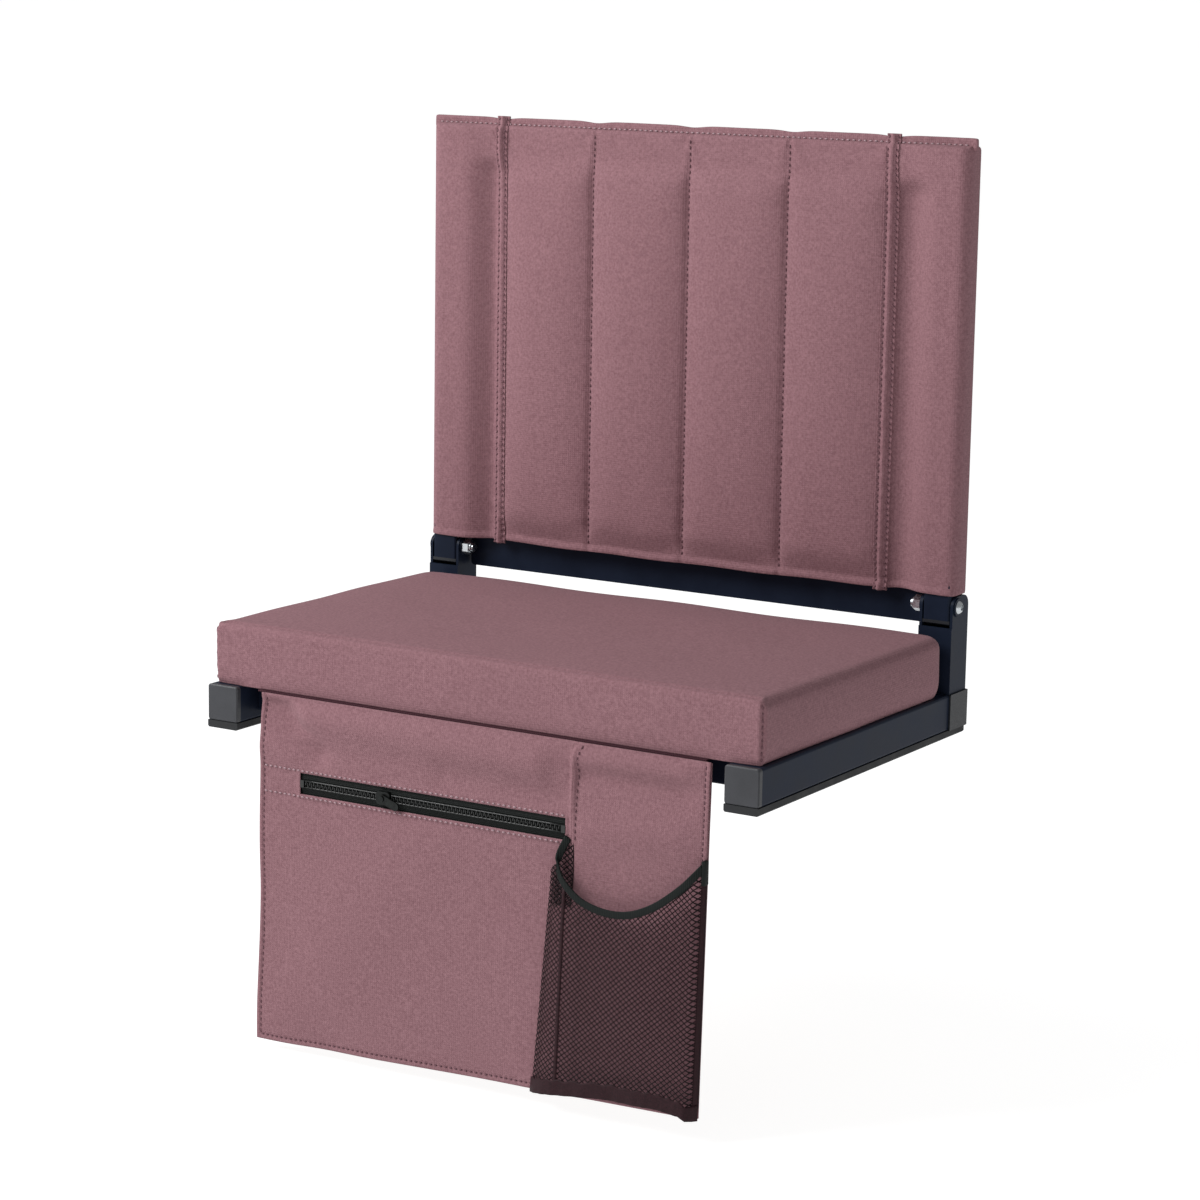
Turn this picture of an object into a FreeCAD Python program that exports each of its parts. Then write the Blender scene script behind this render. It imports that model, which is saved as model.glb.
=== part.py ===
import FreeCAD, Part
import math
import os

# Folding stadium seat: two rails with rubber feet carry a padded board, a padded back folds down
# on it between two posts, and an organiser with a zip pocket and a net pocket hangs at the front.
# Millimetres, +Z up, front towards -Y. The origin is on the bench, in the middle of the feet.

# Rails, feet and end pieces
seat_width = 430.0
rail_length = 290.0
rail_width = 25.0
rail_height = 25.0
rail_wall = 1.5
tube_corner = 2.0
least_bore_corner = 0.3
strip_thickness = 5.0
strip_chamfer = 1.0
cap_head = 4.0
cap_plug = 12.0
cap_chamfer = 0.8
plug_wall = 1.6
plug_clearance = 0.1
boot_wall = 1.3

# Cross tubes between the rails
cross_height = 20.0
cross_depth = 20.0
cross_wall = 1.5
front_cross_setback = 24.0
rear_cross_gap = 30.0

# Hinge posts at the rear ends of the rails
post_depth = 25.0
post_wall = 2.0
pivot_height = 89.5
pivot_setback = 16.5
ear_radius = 7.5
stop_drop = 13.8
stop_gap = 0.4

# Pivot hardware
bolt_diameter = 6.0
bolt_head_diameter = 9.0
bolt_head_height = 2.8
bolt_socket_flats = 4.0
bolt_socket_depth = 1.8
bolt_end = 1.6
washer_diameter = 13.0
washer_thickness = 1.0
nut_flats = 10.0
nut_height = 5.5
nut_collar_diameter = 8.6
nut_collar_height = 1.2
ear_hole_clearance = 0.1
bush_wall = 1.5
bush_clearance = 0.06
bush_fit = 0.02
bush_end_gap = 0.2

# Frame of the back
hinge_side_gap = 0.4
back_tube_depth = 20.0
back_tube_wall = 1.5
back_top = 405.0
top_tube_height = 20.0
top_tube_depth = 16.0
top_plug_length = 10.0
heel_plug_length = 4.2
heel_rear_gap = 0.2
tube_end_rise = 4.4
cross_bar_thickness = 3.0
cross_bar_gap = 0.8
cross_bar_drop = 14.5
cross_bar_weld_height = 28.0
cross_bar_end_gap = 1.5
cross_bar_lip = 5.5
cross_bar_corner = 3.0

# Cover and pads of the back
cover_thickness = 0.8
soft_gap = 0.3
cover_overhang = 1.5
cover_ear_gap = 0.5
hem_flange_height = 5.0
hem_flange_thickness = 3.0
sleeve_corner = 5.0
channel_count = 4
channel_crown = 4.5
channel_valley = 1.5
recess_width = 35.4
recess_depth = 3.0
pad_side_gap = 3.0
pad_rear_gap = 1.0
pad_top_gap = 4.0
seam_strip_width = 10.0
seam_strip_thickness = 1.0

# Seat cushion
cushion_side_inset = 1.0
cushion_front_inset = 6.0
cushion_rear_gap = 3.0
cushion_height = 42.0
cushion_crown = 3.0
cushion_edge_round = 14.0
side_tuck = 2.0
side_draw = 2.0
board_thickness = 9.0
hem_width = 22.0
screw_diameter = 4.0
screw_head_diameter = 8.0
screw_face_diameter = 5.4
screw_head_height = 2.4
screw_bite = 6.0
screw_clearance = 0.1
screw_inset = 70.0
staple_length = 10.0
staple_width = 1.2
staple_thickness = 0.6
staple_count = 8
staple_margin = 35.0

# Organiser that hangs at the front
organiser_side_gap = 15.0
organiser_height = 237.0
organiser_lead = 2.0
cloth_thickness = 1.0
layer_gap = 0.1
header_depth = 16.0
header_thickness = 1.0
axis_drop = 1.8
panel_top_gap = 0.2
facing_drop = 4.5
zip_drop = 57.5
zip_left_inset = 37.5
zip_overrun = 1.5
zip_slot_height = 13.5
zip_tape_thickness = 0.5
zip_tape_overlap = 3.0
zip_coil_width = 5.0
zip_coil_height = 2.0
zip_coil_corner = 0.8
zip_stop_length = 3.0
divider_gap = 5.5
slider_way_left = 69.0
slider_length = 11.0
slider_width = 9.0
slider_wall = 1.2
slider_corner = 2.7
slider_clearance = 0.3
stud_diameter = 2.0
stud_head_diameter = 4.0
stud_head_height = 0.6
pull_length = 17.0
pull_width = 5.5
pull_thickness = 1.2
pull_clearance = 0.08
pull_end_gap = 0.3
pull_tilt = 70.0

# Net pocket on the organiser
pocket_width = 100.0
pocket_edge_gap = 3.0
pocket_splay = 16.0
pocket_right_splay = 3.0
pocket_depth = 9.0
pocket_floor_rise = 3.0
pocket_mouth_drop = 69.0
mouth_dip = 36.0
net_thickness = 0.8
net_pitch = 7.4
net_strand = 1.8
net_hem = 13.0
net_row_shift = 1.85
binding_width = 5.0
binding_thickness = 2.4

# Levels and places worked out from the driving sizes
front = -rail_length / 2.0
rear = rail_length / 2.0
rail_bottom = strip_thickness
rail_top = rail_bottom + rail_height
rail_center = seat_width / 2.0 - rail_width / 2.0
rail_inner = seat_width / 2.0 - rail_width
post_front = rear - post_depth
pivot_y = rear - pivot_setback
ear_front = pivot_y - ear_radius
ear_top = pivot_height + ear_radius
stop_level = pivot_height - stop_drop
ear_slot = rail_width - 2.0 * post_wall
bolt_radius = bolt_diameter / 2.0
bush_bore_radius = bolt_radius + bush_clearance
bush_radius = bush_bore_radius + bush_wall
back_tube_width = ear_slot - 2.0 * hinge_side_gap
leg_front = ear_front
leg_rear = leg_front + back_tube_depth
leg_inner = rail_center - back_tube_width / 2.0
leg_outer = rail_center + back_tube_width / 2.0
heel_level = stop_level + stop_gap
leg_bottom = heel_level + tube_end_rise
cover_bottom = ear_top + cover_ear_gap
cover_shoulder = back_top - hem_flange_height
top_tube_top = cover_shoulder - cover_thickness - soft_gap
top_tube_bottom = top_tube_top - top_tube_height
cover_front = leg_front - soft_gap - cover_thickness
cover_rear = leg_rear + soft_gap + cover_thickness
cover_half = seat_width / 2.0 + cover_overhang
seam_x = leg_inner - recess_width
channel_pitch = 2.0 * seam_x / channel_count
cross_bar_front = pivot_y + washer_diameter / 2.0 + cross_bar_gap
cross_bar_bottom = pivot_height - cross_bar_drop
cross_bar_shoulder = ear_top + cover_ear_gap
screw_x = rail_inner - screw_inset
cushion_half = seat_width / 2.0 - cushion_side_inset
cushion_front = front + cushion_front_inset
cushion_rear = post_front - cushion_rear_gap
board_bottom = rail_top + cover_thickness
board_top = board_bottom + board_thickness
board_inset = cover_thickness + side_tuck + side_draw + soft_gap
front_cross_y = front + front_cross_setback
rear_cross_y = post_front - rear_cross_gap - cross_depth
organiser_half = rail_inner - organiser_side_gap
axis_y = cushion_front - organiser_lead
axis_z = rail_top - axis_drop
panel_top = axis_z + panel_top_gap
organiser_bottom = panel_top - organiser_height
panel_rear = axis_y + cloth_thickness / 2.0
panel_front = axis_y - cloth_thickness / 2.0
tape_front = panel_front - layer_gap - zip_tape_thickness
facing_rear = tape_front - layer_gap
facing_front = facing_rear - cloth_thickness
facing_top = axis_z - facing_drop
zip_level = axis_z - zip_drop
pocket_right = organiser_half - pocket_edge_gap
pocket_left = pocket_right - pocket_width
zip_left = zip_left_inset - organiser_half
zip_right = pocket_left + zip_overrun
slider_rest = zip_left + slider_way_left
divider_x = zip_right + divider_gap
coil_front = tape_front - zip_coil_height
net_front = facing_front - pocket_depth
pocket_floor = organiser_bottom + pocket_floor_rise
mouth_level = axis_z - pocket_mouth_drop


def vector(x, y, z):
    return FreeCAD.Vector(x, y, z)


def block(x0, x1, y0, y1, z0, z1):
    """A box between two corners."""
    return Part.makeBox(x1 - x0, y1 - y0, z1 - z0, vector(x0, y0, z0))


def rod(radius, x0, x1, y, z):
    """A cylinder along X."""
    return Part.makeCylinder(radius, x1 - x0, vector(x0, y, z), vector(1, 0, 0))


def on_xy(level):
    return lambda u, v: vector(u, v, level)


def on_xz(level):
    return lambda u, v: vector(u, level, v)


def on_yz(level):
    return lambda u, v: vector(level, u, v)


def outline(place, start, steps):
    """A closed face from lines (one point) and arcs (a point on the way, then the end)."""
    edges = []
    here = place(*start)
    for step in steps + [(start,)]:
        end = place(*step[-1])
        if here.distanceToPoint(end) < 1e-7:
            continue
        if len(step) == 2:
            edges.append(Part.Arc(here, place(*step[0]), end).toShape())
        else:
            edges.append(Part.LineSegment(here, end).toShape())
        here = end
    return Part.Face(Part.Wire(edges))


def on_circle(center, radius, degrees):
    turn = math.radians(degrees)
    return (center[0] + radius * math.cos(turn), center[1] + radius * math.sin(turn))


def hexagon_ring(place, center, flats):
    """The edge of a hexagon with a corner upwards, measured across its flats."""
    reach = flats / math.sqrt(3.0)
    corners = [place(*on_circle(center, reach, 90.0 - 60.0 * turn)) for turn in range(6)]
    return Part.makePolygon(corners + corners[:1])


def hexagon(flats, x0, x1, y, z):
    """A hexagonal bar along X."""
    return Part.Face(hexagon_ring(on_yz(x0), (y, z), flats)).extrude(vector(x1 - x0, 0, 0))


def rounded(place, u0, u1, v0, v1, radius):
    """A rectangle with round corners, as a face."""
    steps = []
    corners = [(u1, v0, -1, 1, 270.0), (u1, v1, -1, -1, 0.0), (u0, v1, 1, -1, 90.0), (u0, v0, 1, 1, 180.0)]
    for u, v, side_u, side_v, turn in corners:
        center = (u + side_u * radius, v + side_v * radius)
        steps.append((on_circle(center, radius, turn),))
        steps.append((on_circle(center, radius, turn + 45.0), on_circle(center, radius, turn + 90.0)))
    return outline(place, (u0 + radius, v0), steps)


def square_tube(place, u0, u1, v0, v1, wall, along):
    """A tube with round outer corners and a plain bore, along one axis."""
    outer = rounded(place, u0, u1, v0, v1, tube_corner).extrude(along)
    bore_corner = max(tube_corner - wall, least_bore_corner)
    bore = rounded(place, u0 + wall, u1 - wall, v0 + wall, v1 - wall, bore_corner).extrude(along)
    return outer.cut(bore)


def tube_plug(place, u0, u1, v0, v1, wall, along):
    """A moulded plug that fits a tube's bore, given the tube's outside."""
    inset = wall + plug_clearance
    return rounded(place, u0 + inset, u1 - inset, v0 + inset, v1 - inset, tube_corner).extrude(along)


def mirrored(shape):
    """The same piece on the other side of the seat."""
    return shape.mirror(vector(0, 0, 0), vector(1, 0, 0))


# Seat frame, each piece drawn on the right-hand side

def side_rail():
    place = on_xz(front + cap_head)
    along = vector(0, rail_length - cap_head, 0)
    x0 = rail_center - rail_width / 2.0
    return square_tube(place, x0, x0 + rail_width, rail_bottom, rail_top, rail_wall, along)


def rail_cap():
    half = rail_width / 2.0
    head = rounded(on_xz(front), rail_center - half, rail_center + half, rail_bottom, rail_top, tube_corner)
    head = head.extrude(vector(0, cap_head, 0))
    rim = [edge for edge in head.Edges if edge.BoundBox.YMax < front + cap_head / 2.0]
    head = head.makeChamfer(cap_chamfer, rim)
    inner = rail_wall + plug_clearance + plug_wall
    y0 = front + cap_head
    plug = tube_plug(on_xz(y0), rail_center - half, rail_center + half, rail_bottom, rail_top, rail_wall,
                     vector(0, cap_plug, 0))
    hollow = block(rail_center - half + inner, rail_center + half - inner, y0, y0 + cap_plug,
                   rail_bottom + inner, rail_top - inner)
    return head.fuse(plug.cut(hollow)).removeSplitter()


def rear_boot():
    """A moulded sleeve on the rail's rear end: two cheeks and an end wall, open under the post."""
    x0 = rail_center - rail_width / 2.0
    x1 = rail_center + rail_width / 2.0
    sleeve = block(x0 - boot_wall, x1 + boot_wall, post_front, rear + boot_wall, rail_bottom, rail_top)
    return sleeve.cut(block(x0, x1, post_front, rear, rail_bottom, rail_top))


def foot_strip():
    half = rail_width / 2.0
    steps = [
        ((rail_center + half - strip_chamfer, 0.0),),
        ((rail_center + half, strip_chamfer),),
        ((rail_center + half, strip_thickness),),
        ((rail_center - half, strip_thickness),),
        ((rail_center - half, strip_chamfer),),
    ]
    face = outline(on_xz(front), (rail_center - half + strip_chamfer, 0.0), steps)
    return face.extrude(vector(0, rail_length, 0))


def hinge_post():
    """A square post whose side walls rise as two ears; its front and rear walls end at the stop."""
    pivot = (pivot_y, pivot_height)
    heel = (rear - ear_radius, pivot_height)
    steps = [
        ((post_front, stop_level),),
        ((ear_front, stop_level),),
        ((ear_front, pivot_height),),
        (on_circle(pivot, ear_radius, 135.0), (pivot_y, ear_top)),
        ((rear - ear_radius, ear_top),),
        (on_circle(heel, ear_radius, 45.0), (rear, pivot_height)),
        ((rear, rail_top),),
    ]
    x0 = rail_center - rail_width / 2.0
    post = outline(on_yz(x0), (post_front, rail_top), steps).extrude(vector(rail_width, 0, 0))
    slot_x0 = rail_center - ear_slot / 2.0
    slot_x1 = rail_center + ear_slot / 2.0
    post = post.cut(block(slot_x0, slot_x1, post_front + post_wall, rear - post_wall, rail_top, stop_level))
    post = post.cut(block(slot_x0, slot_x1, post_front, rear, stop_level, ear_top))
    return post.cut(rod(bolt_radius + ear_hole_clearance, x0, x0 + rail_width, pivot_y, pivot_height))


def cross_tube(y0):
    place = on_yz(-rail_inner)
    along = vector(2.0 * rail_inner, 0, 0)
    tube = square_tube(place, y0, y0 + cross_depth, rail_top - cross_height, rail_top, cross_wall, along)
    for x in (-screw_x, screw_x):
        hole = Part.makeCylinder(screw_diameter / 2.0 + screw_clearance, cross_height,
                                 vector(x, y0 + cross_depth / 2.0, rail_top - cross_height))
        tube = tube.cut(hole)
    return tube


def screw_places():
    rows = (front_cross_y + cross_depth / 2.0, rear_cross_y + cross_depth / 2.0)
    return [(x, y) for y in rows for x in (-screw_x, screw_x)]


def seat_board():
    half = cushion_half - board_inset
    board = block(-half, half, cushion_front + board_inset, cushion_rear - board_inset,
                  board_bottom, board_top)
    upright = [edge for edge in board.Edges if edge.BoundBox.ZLength > board_thickness / 2.0]
    board = board.makeFillet(board_thickness, upright)
    for x, y in screw_places():
        hole = Part.makeCylinder(screw_diameter / 2.0, screw_bite, vector(x, y, board_bottom))
        board = board.cut(hole)
    return board


def board_screws():
    under = rail_top - cross_height
    screws = []
    for x, y in screw_places():
        head = Part.makeCone(screw_face_diameter / 2.0, screw_head_diameter / 2.0, screw_head_height,
                             vector(x, y, under - screw_head_height))
        reach = board_bottom + screw_bite - under
        shank = Part.makeCylinder(screw_diameter / 2.0, reach, vector(x, y, under))
        screws.append(head.fuse(shank))
    return Part.makeCompound(screws)


def cushion_form(inset):
    """The padded seat: a crowned block with soft top edges whose sides draw in between the corners."""
    half = cushion_half - inset
    y0 = cushion_front + inset
    y1 = cushion_rear - inset
    z0 = rail_top + inset
    z1 = rail_top + cushion_height - inset
    middle_y = (y0 + y1) / 2.0
    middle_z = (z0 + z1) / 2.0
    bend = cushion_edge_round
    easing = bend * (1.0 - math.sqrt(0.5))

    def crowned(low, high, place, along):
        steps = [
            ((high - side_tuck, z0),),
            ((high, middle_z), (high - side_tuck, z1 - bend)),
            ((high - side_tuck - easing, z1 - easing), (high - side_tuck - bend, z1)),
            (((low + high) / 2.0, z1 + cushion_crown), (low + side_tuck + bend, z1)),
            ((low + side_tuck + easing, z1 - easing), (low + side_tuck, z1 - bend)),
            ((low, middle_z), (low + side_tuck, z0)),
        ]
        return outline(place, (low + side_tuck, z0), steps).extrude(along)

    pull = side_draw / 2.0
    wide = half + pull
    y_low = y0 - pull
    y_high = y1 + pull
    plan = outline(on_xy(z0 - pull), (-wide, y_low), [
        ((0.0, y0 + pull), (wide, y_low)),
        ((half - pull, middle_y), (wide, y_high)),
        ((0.0, y1 - pull), (-wide, y_high)),
        ((-half + pull, middle_y), (-wide, y_low)),
    ]).extrude(vector(0, 0, cushion_height + 2.0 * cushion_crown + pull))
    across = crowned(-half, half, on_xz(y_low - pull), vector(0, y_high - y_low + 2.0 * pull, 0))
    fore_and_aft = crowned(y0, y1, on_yz(-wide - pull), vector(2.0 * (wide + pull), 0, 0))
    return across.common(fore_and_aft).common(plan)


def seat_cover():
    shell = cushion_form(0.0).cut(cushion_form(cover_thickness))
    half = cushion_half - hem_width
    opening = block(-half, half, cushion_front + hem_width, cushion_rear - hem_width,
                    rail_top, rail_top + cover_thickness)
    return shell.cut(opening)


def seat_foam():
    form = cushion_form(cover_thickness + soft_gap)
    return form.cut(block(-cushion_half, cushion_half, cushion_front, cushion_rear, rail_top, board_top))


def staple_rows():
    """Staples that hold the cover's hem under the board, in front through the organiser's header."""
    front_row = (axis_y + header_depth / 2.0, rail_top - header_thickness)
    rear_row = (cushion_rear - hem_width / 2.0, rail_top)
    pitch = 2.0 * (organiser_half - staple_margin) / (staple_count - 1)
    staples = []
    for y, level in (front_row, rear_row):
        for index in range(staple_count):
            x = staple_margin - organiser_half + index * pitch
            staples.append(block(x - staple_length / 2.0, x + staple_length / 2.0,
                                 y - staple_width / 2.0, y + staple_width / 2.0,
                                 level - staple_thickness, level))
    return Part.makeCompound(staples)


# Pivot hardware on the right-hand side; the head is outside, the nut inside

def pivot_bolt():
    seat = seat_width / 2.0 + washer_thickness
    end = rail_inner - washer_thickness - nut_height - nut_collar_height - bolt_end
    rim = bolt_head_diameter / 2.0
    crown = (rim * rim + bolt_head_height * bolt_head_height) / (2.0 * bolt_head_height)
    center = (seat + bolt_head_height - crown, pivot_y)
    spread = math.degrees(math.asin(rim / crown))
    half = outline(on_xy(pivot_height), (end, pivot_y), [
        ((end, pivot_y + bolt_radius),),
        ((seat, pivot_y + bolt_radius),),
        ((seat, pivot_y + rim),),
        (on_circle(center, crown, spread / 2.0), (seat + bolt_head_height, pivot_y)),
    ])
    bolt = half.revolve(vector(0, pivot_y, pivot_height), vector(1, 0, 0), 360.0)
    face = seat + bolt_head_height
    socket = hexagon(bolt_socket_flats, face - bolt_socket_depth, face, pivot_y, pivot_height)
    return bolt.cut(socket)


def pivot_nut():
    seat = rail_inner - washer_thickness
    nut = hexagon(nut_flats, seat - nut_height, seat, pivot_y, pivot_height)
    collar = rod(nut_collar_diameter / 2.0, seat - nut_height - nut_collar_height, seat - nut_height,
                 pivot_y, pivot_height)
    bore = rod(bolt_radius, seat - nut_height - nut_collar_height, seat, pivot_y, pivot_height)
    return nut.fuse(collar).cut(bore)


def pivot_washers():
    washers = []
    for x0 in (seat_width / 2.0, rail_inner - washer_thickness):
        washer = rod(washer_diameter / 2.0, x0, x0 + washer_thickness, pivot_y, pivot_height)
        bore = rod(bolt_radius + ear_hole_clearance, x0, x0 + washer_thickness, pivot_y, pivot_height)
        washers.append(washer.cut(bore))
    return Part.makeCompound(washers + [mirrored(washer) for washer in washers])


def hinge_bush():
    half = ear_slot / 2.0 - bush_end_gap
    bush = rod(bush_radius, rail_center - half, rail_center + half, pivot_y, pivot_height)
    return bush.cut(rod(bush_bore_radius, rail_center - half, rail_center + half, pivot_y, pivot_height))


# Frame of the back

def back_leg():
    place = on_xy(leg_bottom)
    along = vector(0, 0, top_tube_bottom - leg_bottom)
    leg = square_tube(place, leg_inner, leg_outer, leg_front, leg_rear, back_tube_wall, along)
    return leg.cut(rod(bush_radius + bush_fit, leg_inner, leg_outer, pivot_y, pivot_height))


def heel_plug():
    """A plug in the leg's end: a square heel lands on the post's rear wall, its front is round."""
    sweep = stop_drop - stop_gap
    lead = pivot_y - leg_front
    turn = math.degrees(math.acos(-lead / sweep))
    pivot = (pivot_y, pivot_height)
    steps = [
        (on_circle(pivot, sweep, -turn),),
        (on_circle(pivot, sweep, -(turn + 90.0) / 2.0), (pivot_y, heel_level)),
        ((rear - heel_rear_gap, heel_level),),
        ((rear - heel_rear_gap, leg_bottom),),
    ]
    foot = outline(on_yz(leg_inner), (leg_front, leg_bottom), steps).extrude(vector(back_tube_width, 0, 0))
    stem = tube_plug(on_xy(leg_bottom), leg_inner, leg_outer, leg_front, leg_rear, back_tube_wall,
                     vector(0, 0, heel_plug_length))
    return foot.fuse(stem).removeSplitter()


def back_top_tube():
    place = on_yz(-leg_outer)
    along = vector(2.0 * leg_outer, 0, 0)
    y0 = leg_rear - top_tube_depth
    return square_tube(place, y0, leg_rear, top_tube_bottom, top_tube_top, back_tube_wall, along)


def top_tube_plugs():
    plug = tube_plug(on_yz(leg_outer - top_plug_length), leg_rear - top_tube_depth, leg_rear,
                     top_tube_bottom, top_tube_top, back_tube_wall, vector(top_plug_length, 0, 0))
    return Part.makeCompound([plug, mirrored(plug)])


def back_cross_bar():
    """A pressed bar between the legs: widest above the ears, set back behind the nuts, lipped below."""
    half = rail_inner - cross_bar_end_gap
    bend = cross_bar_corner
    top = cross_bar_shoulder + cross_bar_weld_height
    rise = (half - bend, cross_bar_bottom + bend)
    drop = (-half + bend, cross_bar_bottom + bend)
    steps = [
        ((half - bend, cross_bar_bottom),),
        (on_circle(rise, bend, -45.0), (half, cross_bar_bottom + bend)),
        ((half, cross_bar_shoulder),),
        ((leg_inner, cross_bar_shoulder),),
        ((leg_inner, top),),
        ((-leg_inner, top),),
        ((-leg_inner, cross_bar_shoulder),),
        ((-half, cross_bar_shoulder),),
        ((-half, cross_bar_bottom + bend),),
        (on_circle(drop, bend, 225.0), (-half + bend, cross_bar_bottom)),
    ]
    web = outline(on_xz(cross_bar_front), (-half + bend, cross_bar_bottom), steps)
    web = web.extrude(vector(0, cross_bar_thickness, 0))
    lip = block(-half + bend, half - bend, cross_bar_front, cross_bar_front + cross_bar_lip,
                cross_bar_bottom, cross_bar_bottom + cross_bar_thickness)
    return web.fuse(lip).removeSplitter()


# Cover and pads of the back

def seam_places():
    return [-seam_x + index * channel_pitch for index in range(channel_count + 1)]


def cover_section(inset):
    """Plan of the back's sleeve: round over the legs, sunk beside them, padded channels between."""
    half = cover_half - inset
    y0 = cover_front + inset
    y1 = cover_rear - inset
    bend = sleeve_corner - inset
    valley = y0 + channel_valley
    seams = seam_places()
    steps = [
        (on_circle((-half + bend, y1 - bend), bend, 135.0), (-half, y1 - bend)),
        ((-half, y0 + bend),),
        (on_circle((-half + bend, y0 + bend), bend, 225.0), (-half + bend, y0)),
        ((-leg_inner, y0),),
        (((-leg_inner + seams[0]) / 2.0, y0 + recess_depth), (seams[0], valley)),
    ]
    for here, after in zip(seams, seams[1:]):
        steps.append((((here + after) / 2.0, valley - channel_crown), (after, valley)))
    steps += [
        (((leg_inner + seams[-1]) / 2.0, y0 + recess_depth), (leg_inner, y0)),
        ((half - bend, y0),),
        (on_circle((half - bend, y0 + bend), bend, -45.0), (half, y0 + bend)),
        ((half, y1 - bend),),
        (on_circle((half - bend, y1 - bend), bend, 45.0), (half - bend, y1)),
    ]
    return outline(on_xy(cover_bottom), (-half + bend, y1), steps)


def back_cover():
    height = cover_shoulder - cover_bottom
    outer = cover_section(0.0).extrude(vector(0, 0, height))
    inner = cover_section(cover_thickness).extrude(vector(0, 0, height - cover_thickness))
    half = cover_half - sleeve_corner
    middle = (cover_front + cover_rear) / 2.0
    flange = block(-half, half, middle - hem_flange_thickness / 2.0, middle + hem_flange_thickness / 2.0,
                   cover_shoulder, back_top)
    return outer.fuse(flange).cut(inner)


def back_pads():
    """One foam pad in each sewn channel, in front of the cross bar and under the top tube."""
    section = cover_section(cover_thickness + soft_gap)
    pads = []
    seams = seam_places()
    solid = section.extrude(vector(0, 0, top_tube_bottom - pad_top_gap - cover_bottom))
    for here, after in zip(seams, seams[1:]):
        slab = block(here + pad_side_gap, after - pad_side_gap, cover_front - channel_crown,
                     cross_bar_front - pad_rear_gap, cover_bottom, top_tube_bottom)
        pads.append(solid.common(slab))
    return Part.makeCompound(pads)


def seam_strips():
    """Felled seams that join the padded panel to the leg sleeves, following the cover's front."""
    under = cover_section(0.0).extrude(vector(0, 0, cover_shoulder - cover_bottom))
    under.translate(vector(0, -soft_gap, 0))
    raised = under.copy()
    raised.translate(vector(0, -seam_strip_thickness, 0))
    layer = raised.cut(under)
    strips = []
    for x in (-seam_x, seam_x):
        width = block(x - seam_strip_width / 2.0, x + seam_strip_width / 2.0,
                      cover_front - channel_crown, cover_front + recess_depth, cover_bottom, cover_shoulder)
        strips.append(layer.common(width))
    return Part.makeCompound(strips)


# Organiser

def header_tape():
    return block(-organiser_half, organiser_half, axis_y, axis_y + header_depth,
                 rail_top - header_thickness, rail_top)


def organiser_panel():
    return block(-organiser_half, organiser_half, panel_front, panel_rear, organiser_bottom, panel_top)


def zip_slot():
    half = zip_slot_height / 2.0
    return block(zip_left, zip_right, facing_front, facing_rear, zip_level - half, zip_level + half)


def upper_facing():
    piece = block(-organiser_half, divider_x, facing_front, facing_rear, zip_level, facing_top)
    return piece.cut(zip_slot())


def zip_pocket_front():
    piece = block(-organiser_half, divider_x, facing_front, facing_rear, organiser_bottom, zip_level)
    return piece.cut(zip_slot())


def pocket_backing():
    return block(divider_x, organiser_half, facing_front, facing_rear, organiser_bottom, facing_top)


def zip_tapes():
    half = zip_slot_height / 2.0 + zip_tape_overlap
    x0 = zip_left - zip_tape_overlap
    x1 = zip_right + zip_tape_overlap
    y0 = tape_front
    y1 = tape_front + zip_tape_thickness
    upper = block(x0, x1, y0, y1, zip_level, zip_level + half)
    lower = block(x0, x1, y0, y1, zip_level - half, zip_level)
    return Part.makeCompound([upper, lower])


def zip_coil():
    half = zip_coil_width / 2.0
    place = on_yz(zip_left + zip_stop_length)
    face = rounded(place, coil_front, tape_front, zip_level - half, zip_level + half, zip_coil_corner)
    return face.extrude(vector(zip_right - zip_left - 2.0 * zip_stop_length, 0, 0))


def zip_stops():
    low = zip_level - zip_coil_width / 2.0
    high = zip_level + zip_coil_width / 2.0
    left = block(zip_left, zip_left + zip_stop_length, coil_front, tape_front, low, high)
    right = block(zip_right - zip_stop_length, zip_right, coil_front, tape_front, low, high)
    return Part.makeCompound([left, right])


def zip_slider():
    """A slider body open round the coil, with a headed stud that carries the pull."""
    x0 = slider_rest - slider_length / 2.0
    x1 = slider_rest + slider_length / 2.0
    y1 = tape_front - slider_clearance
    y0 = coil_front - slider_clearance - slider_wall
    half = slider_width / 2.0
    body = rounded(on_xz(y0), x0, x1, zip_level - half, zip_level + half, slider_corner)
    body = body.extrude(vector(0, y1 - y0, 0))
    channel_half = zip_coil_width / 2.0 + slider_clearance
    body = body.cut(block(x0, x1, y0 + slider_wall, y1, zip_level - channel_half, zip_level + channel_half))
    stud = stud_rod(stud_diameter / 2.0, y0 - stud_reach(), y0)
    head = stud_rod(stud_head_diameter / 2.0, y0 - stud_reach() - stud_head_height, y0 - stud_reach())
    return body.fuse(stud).fuse(head)


def stud_reach():
    return pull_thickness + 2.0 * pull_end_gap


def stud_rod(radius, y0, y1):
    return Part.makeCylinder(radius, y1 - y0, vector(slider_rest, y0, zip_level), vector(0, 1, 0))


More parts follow.
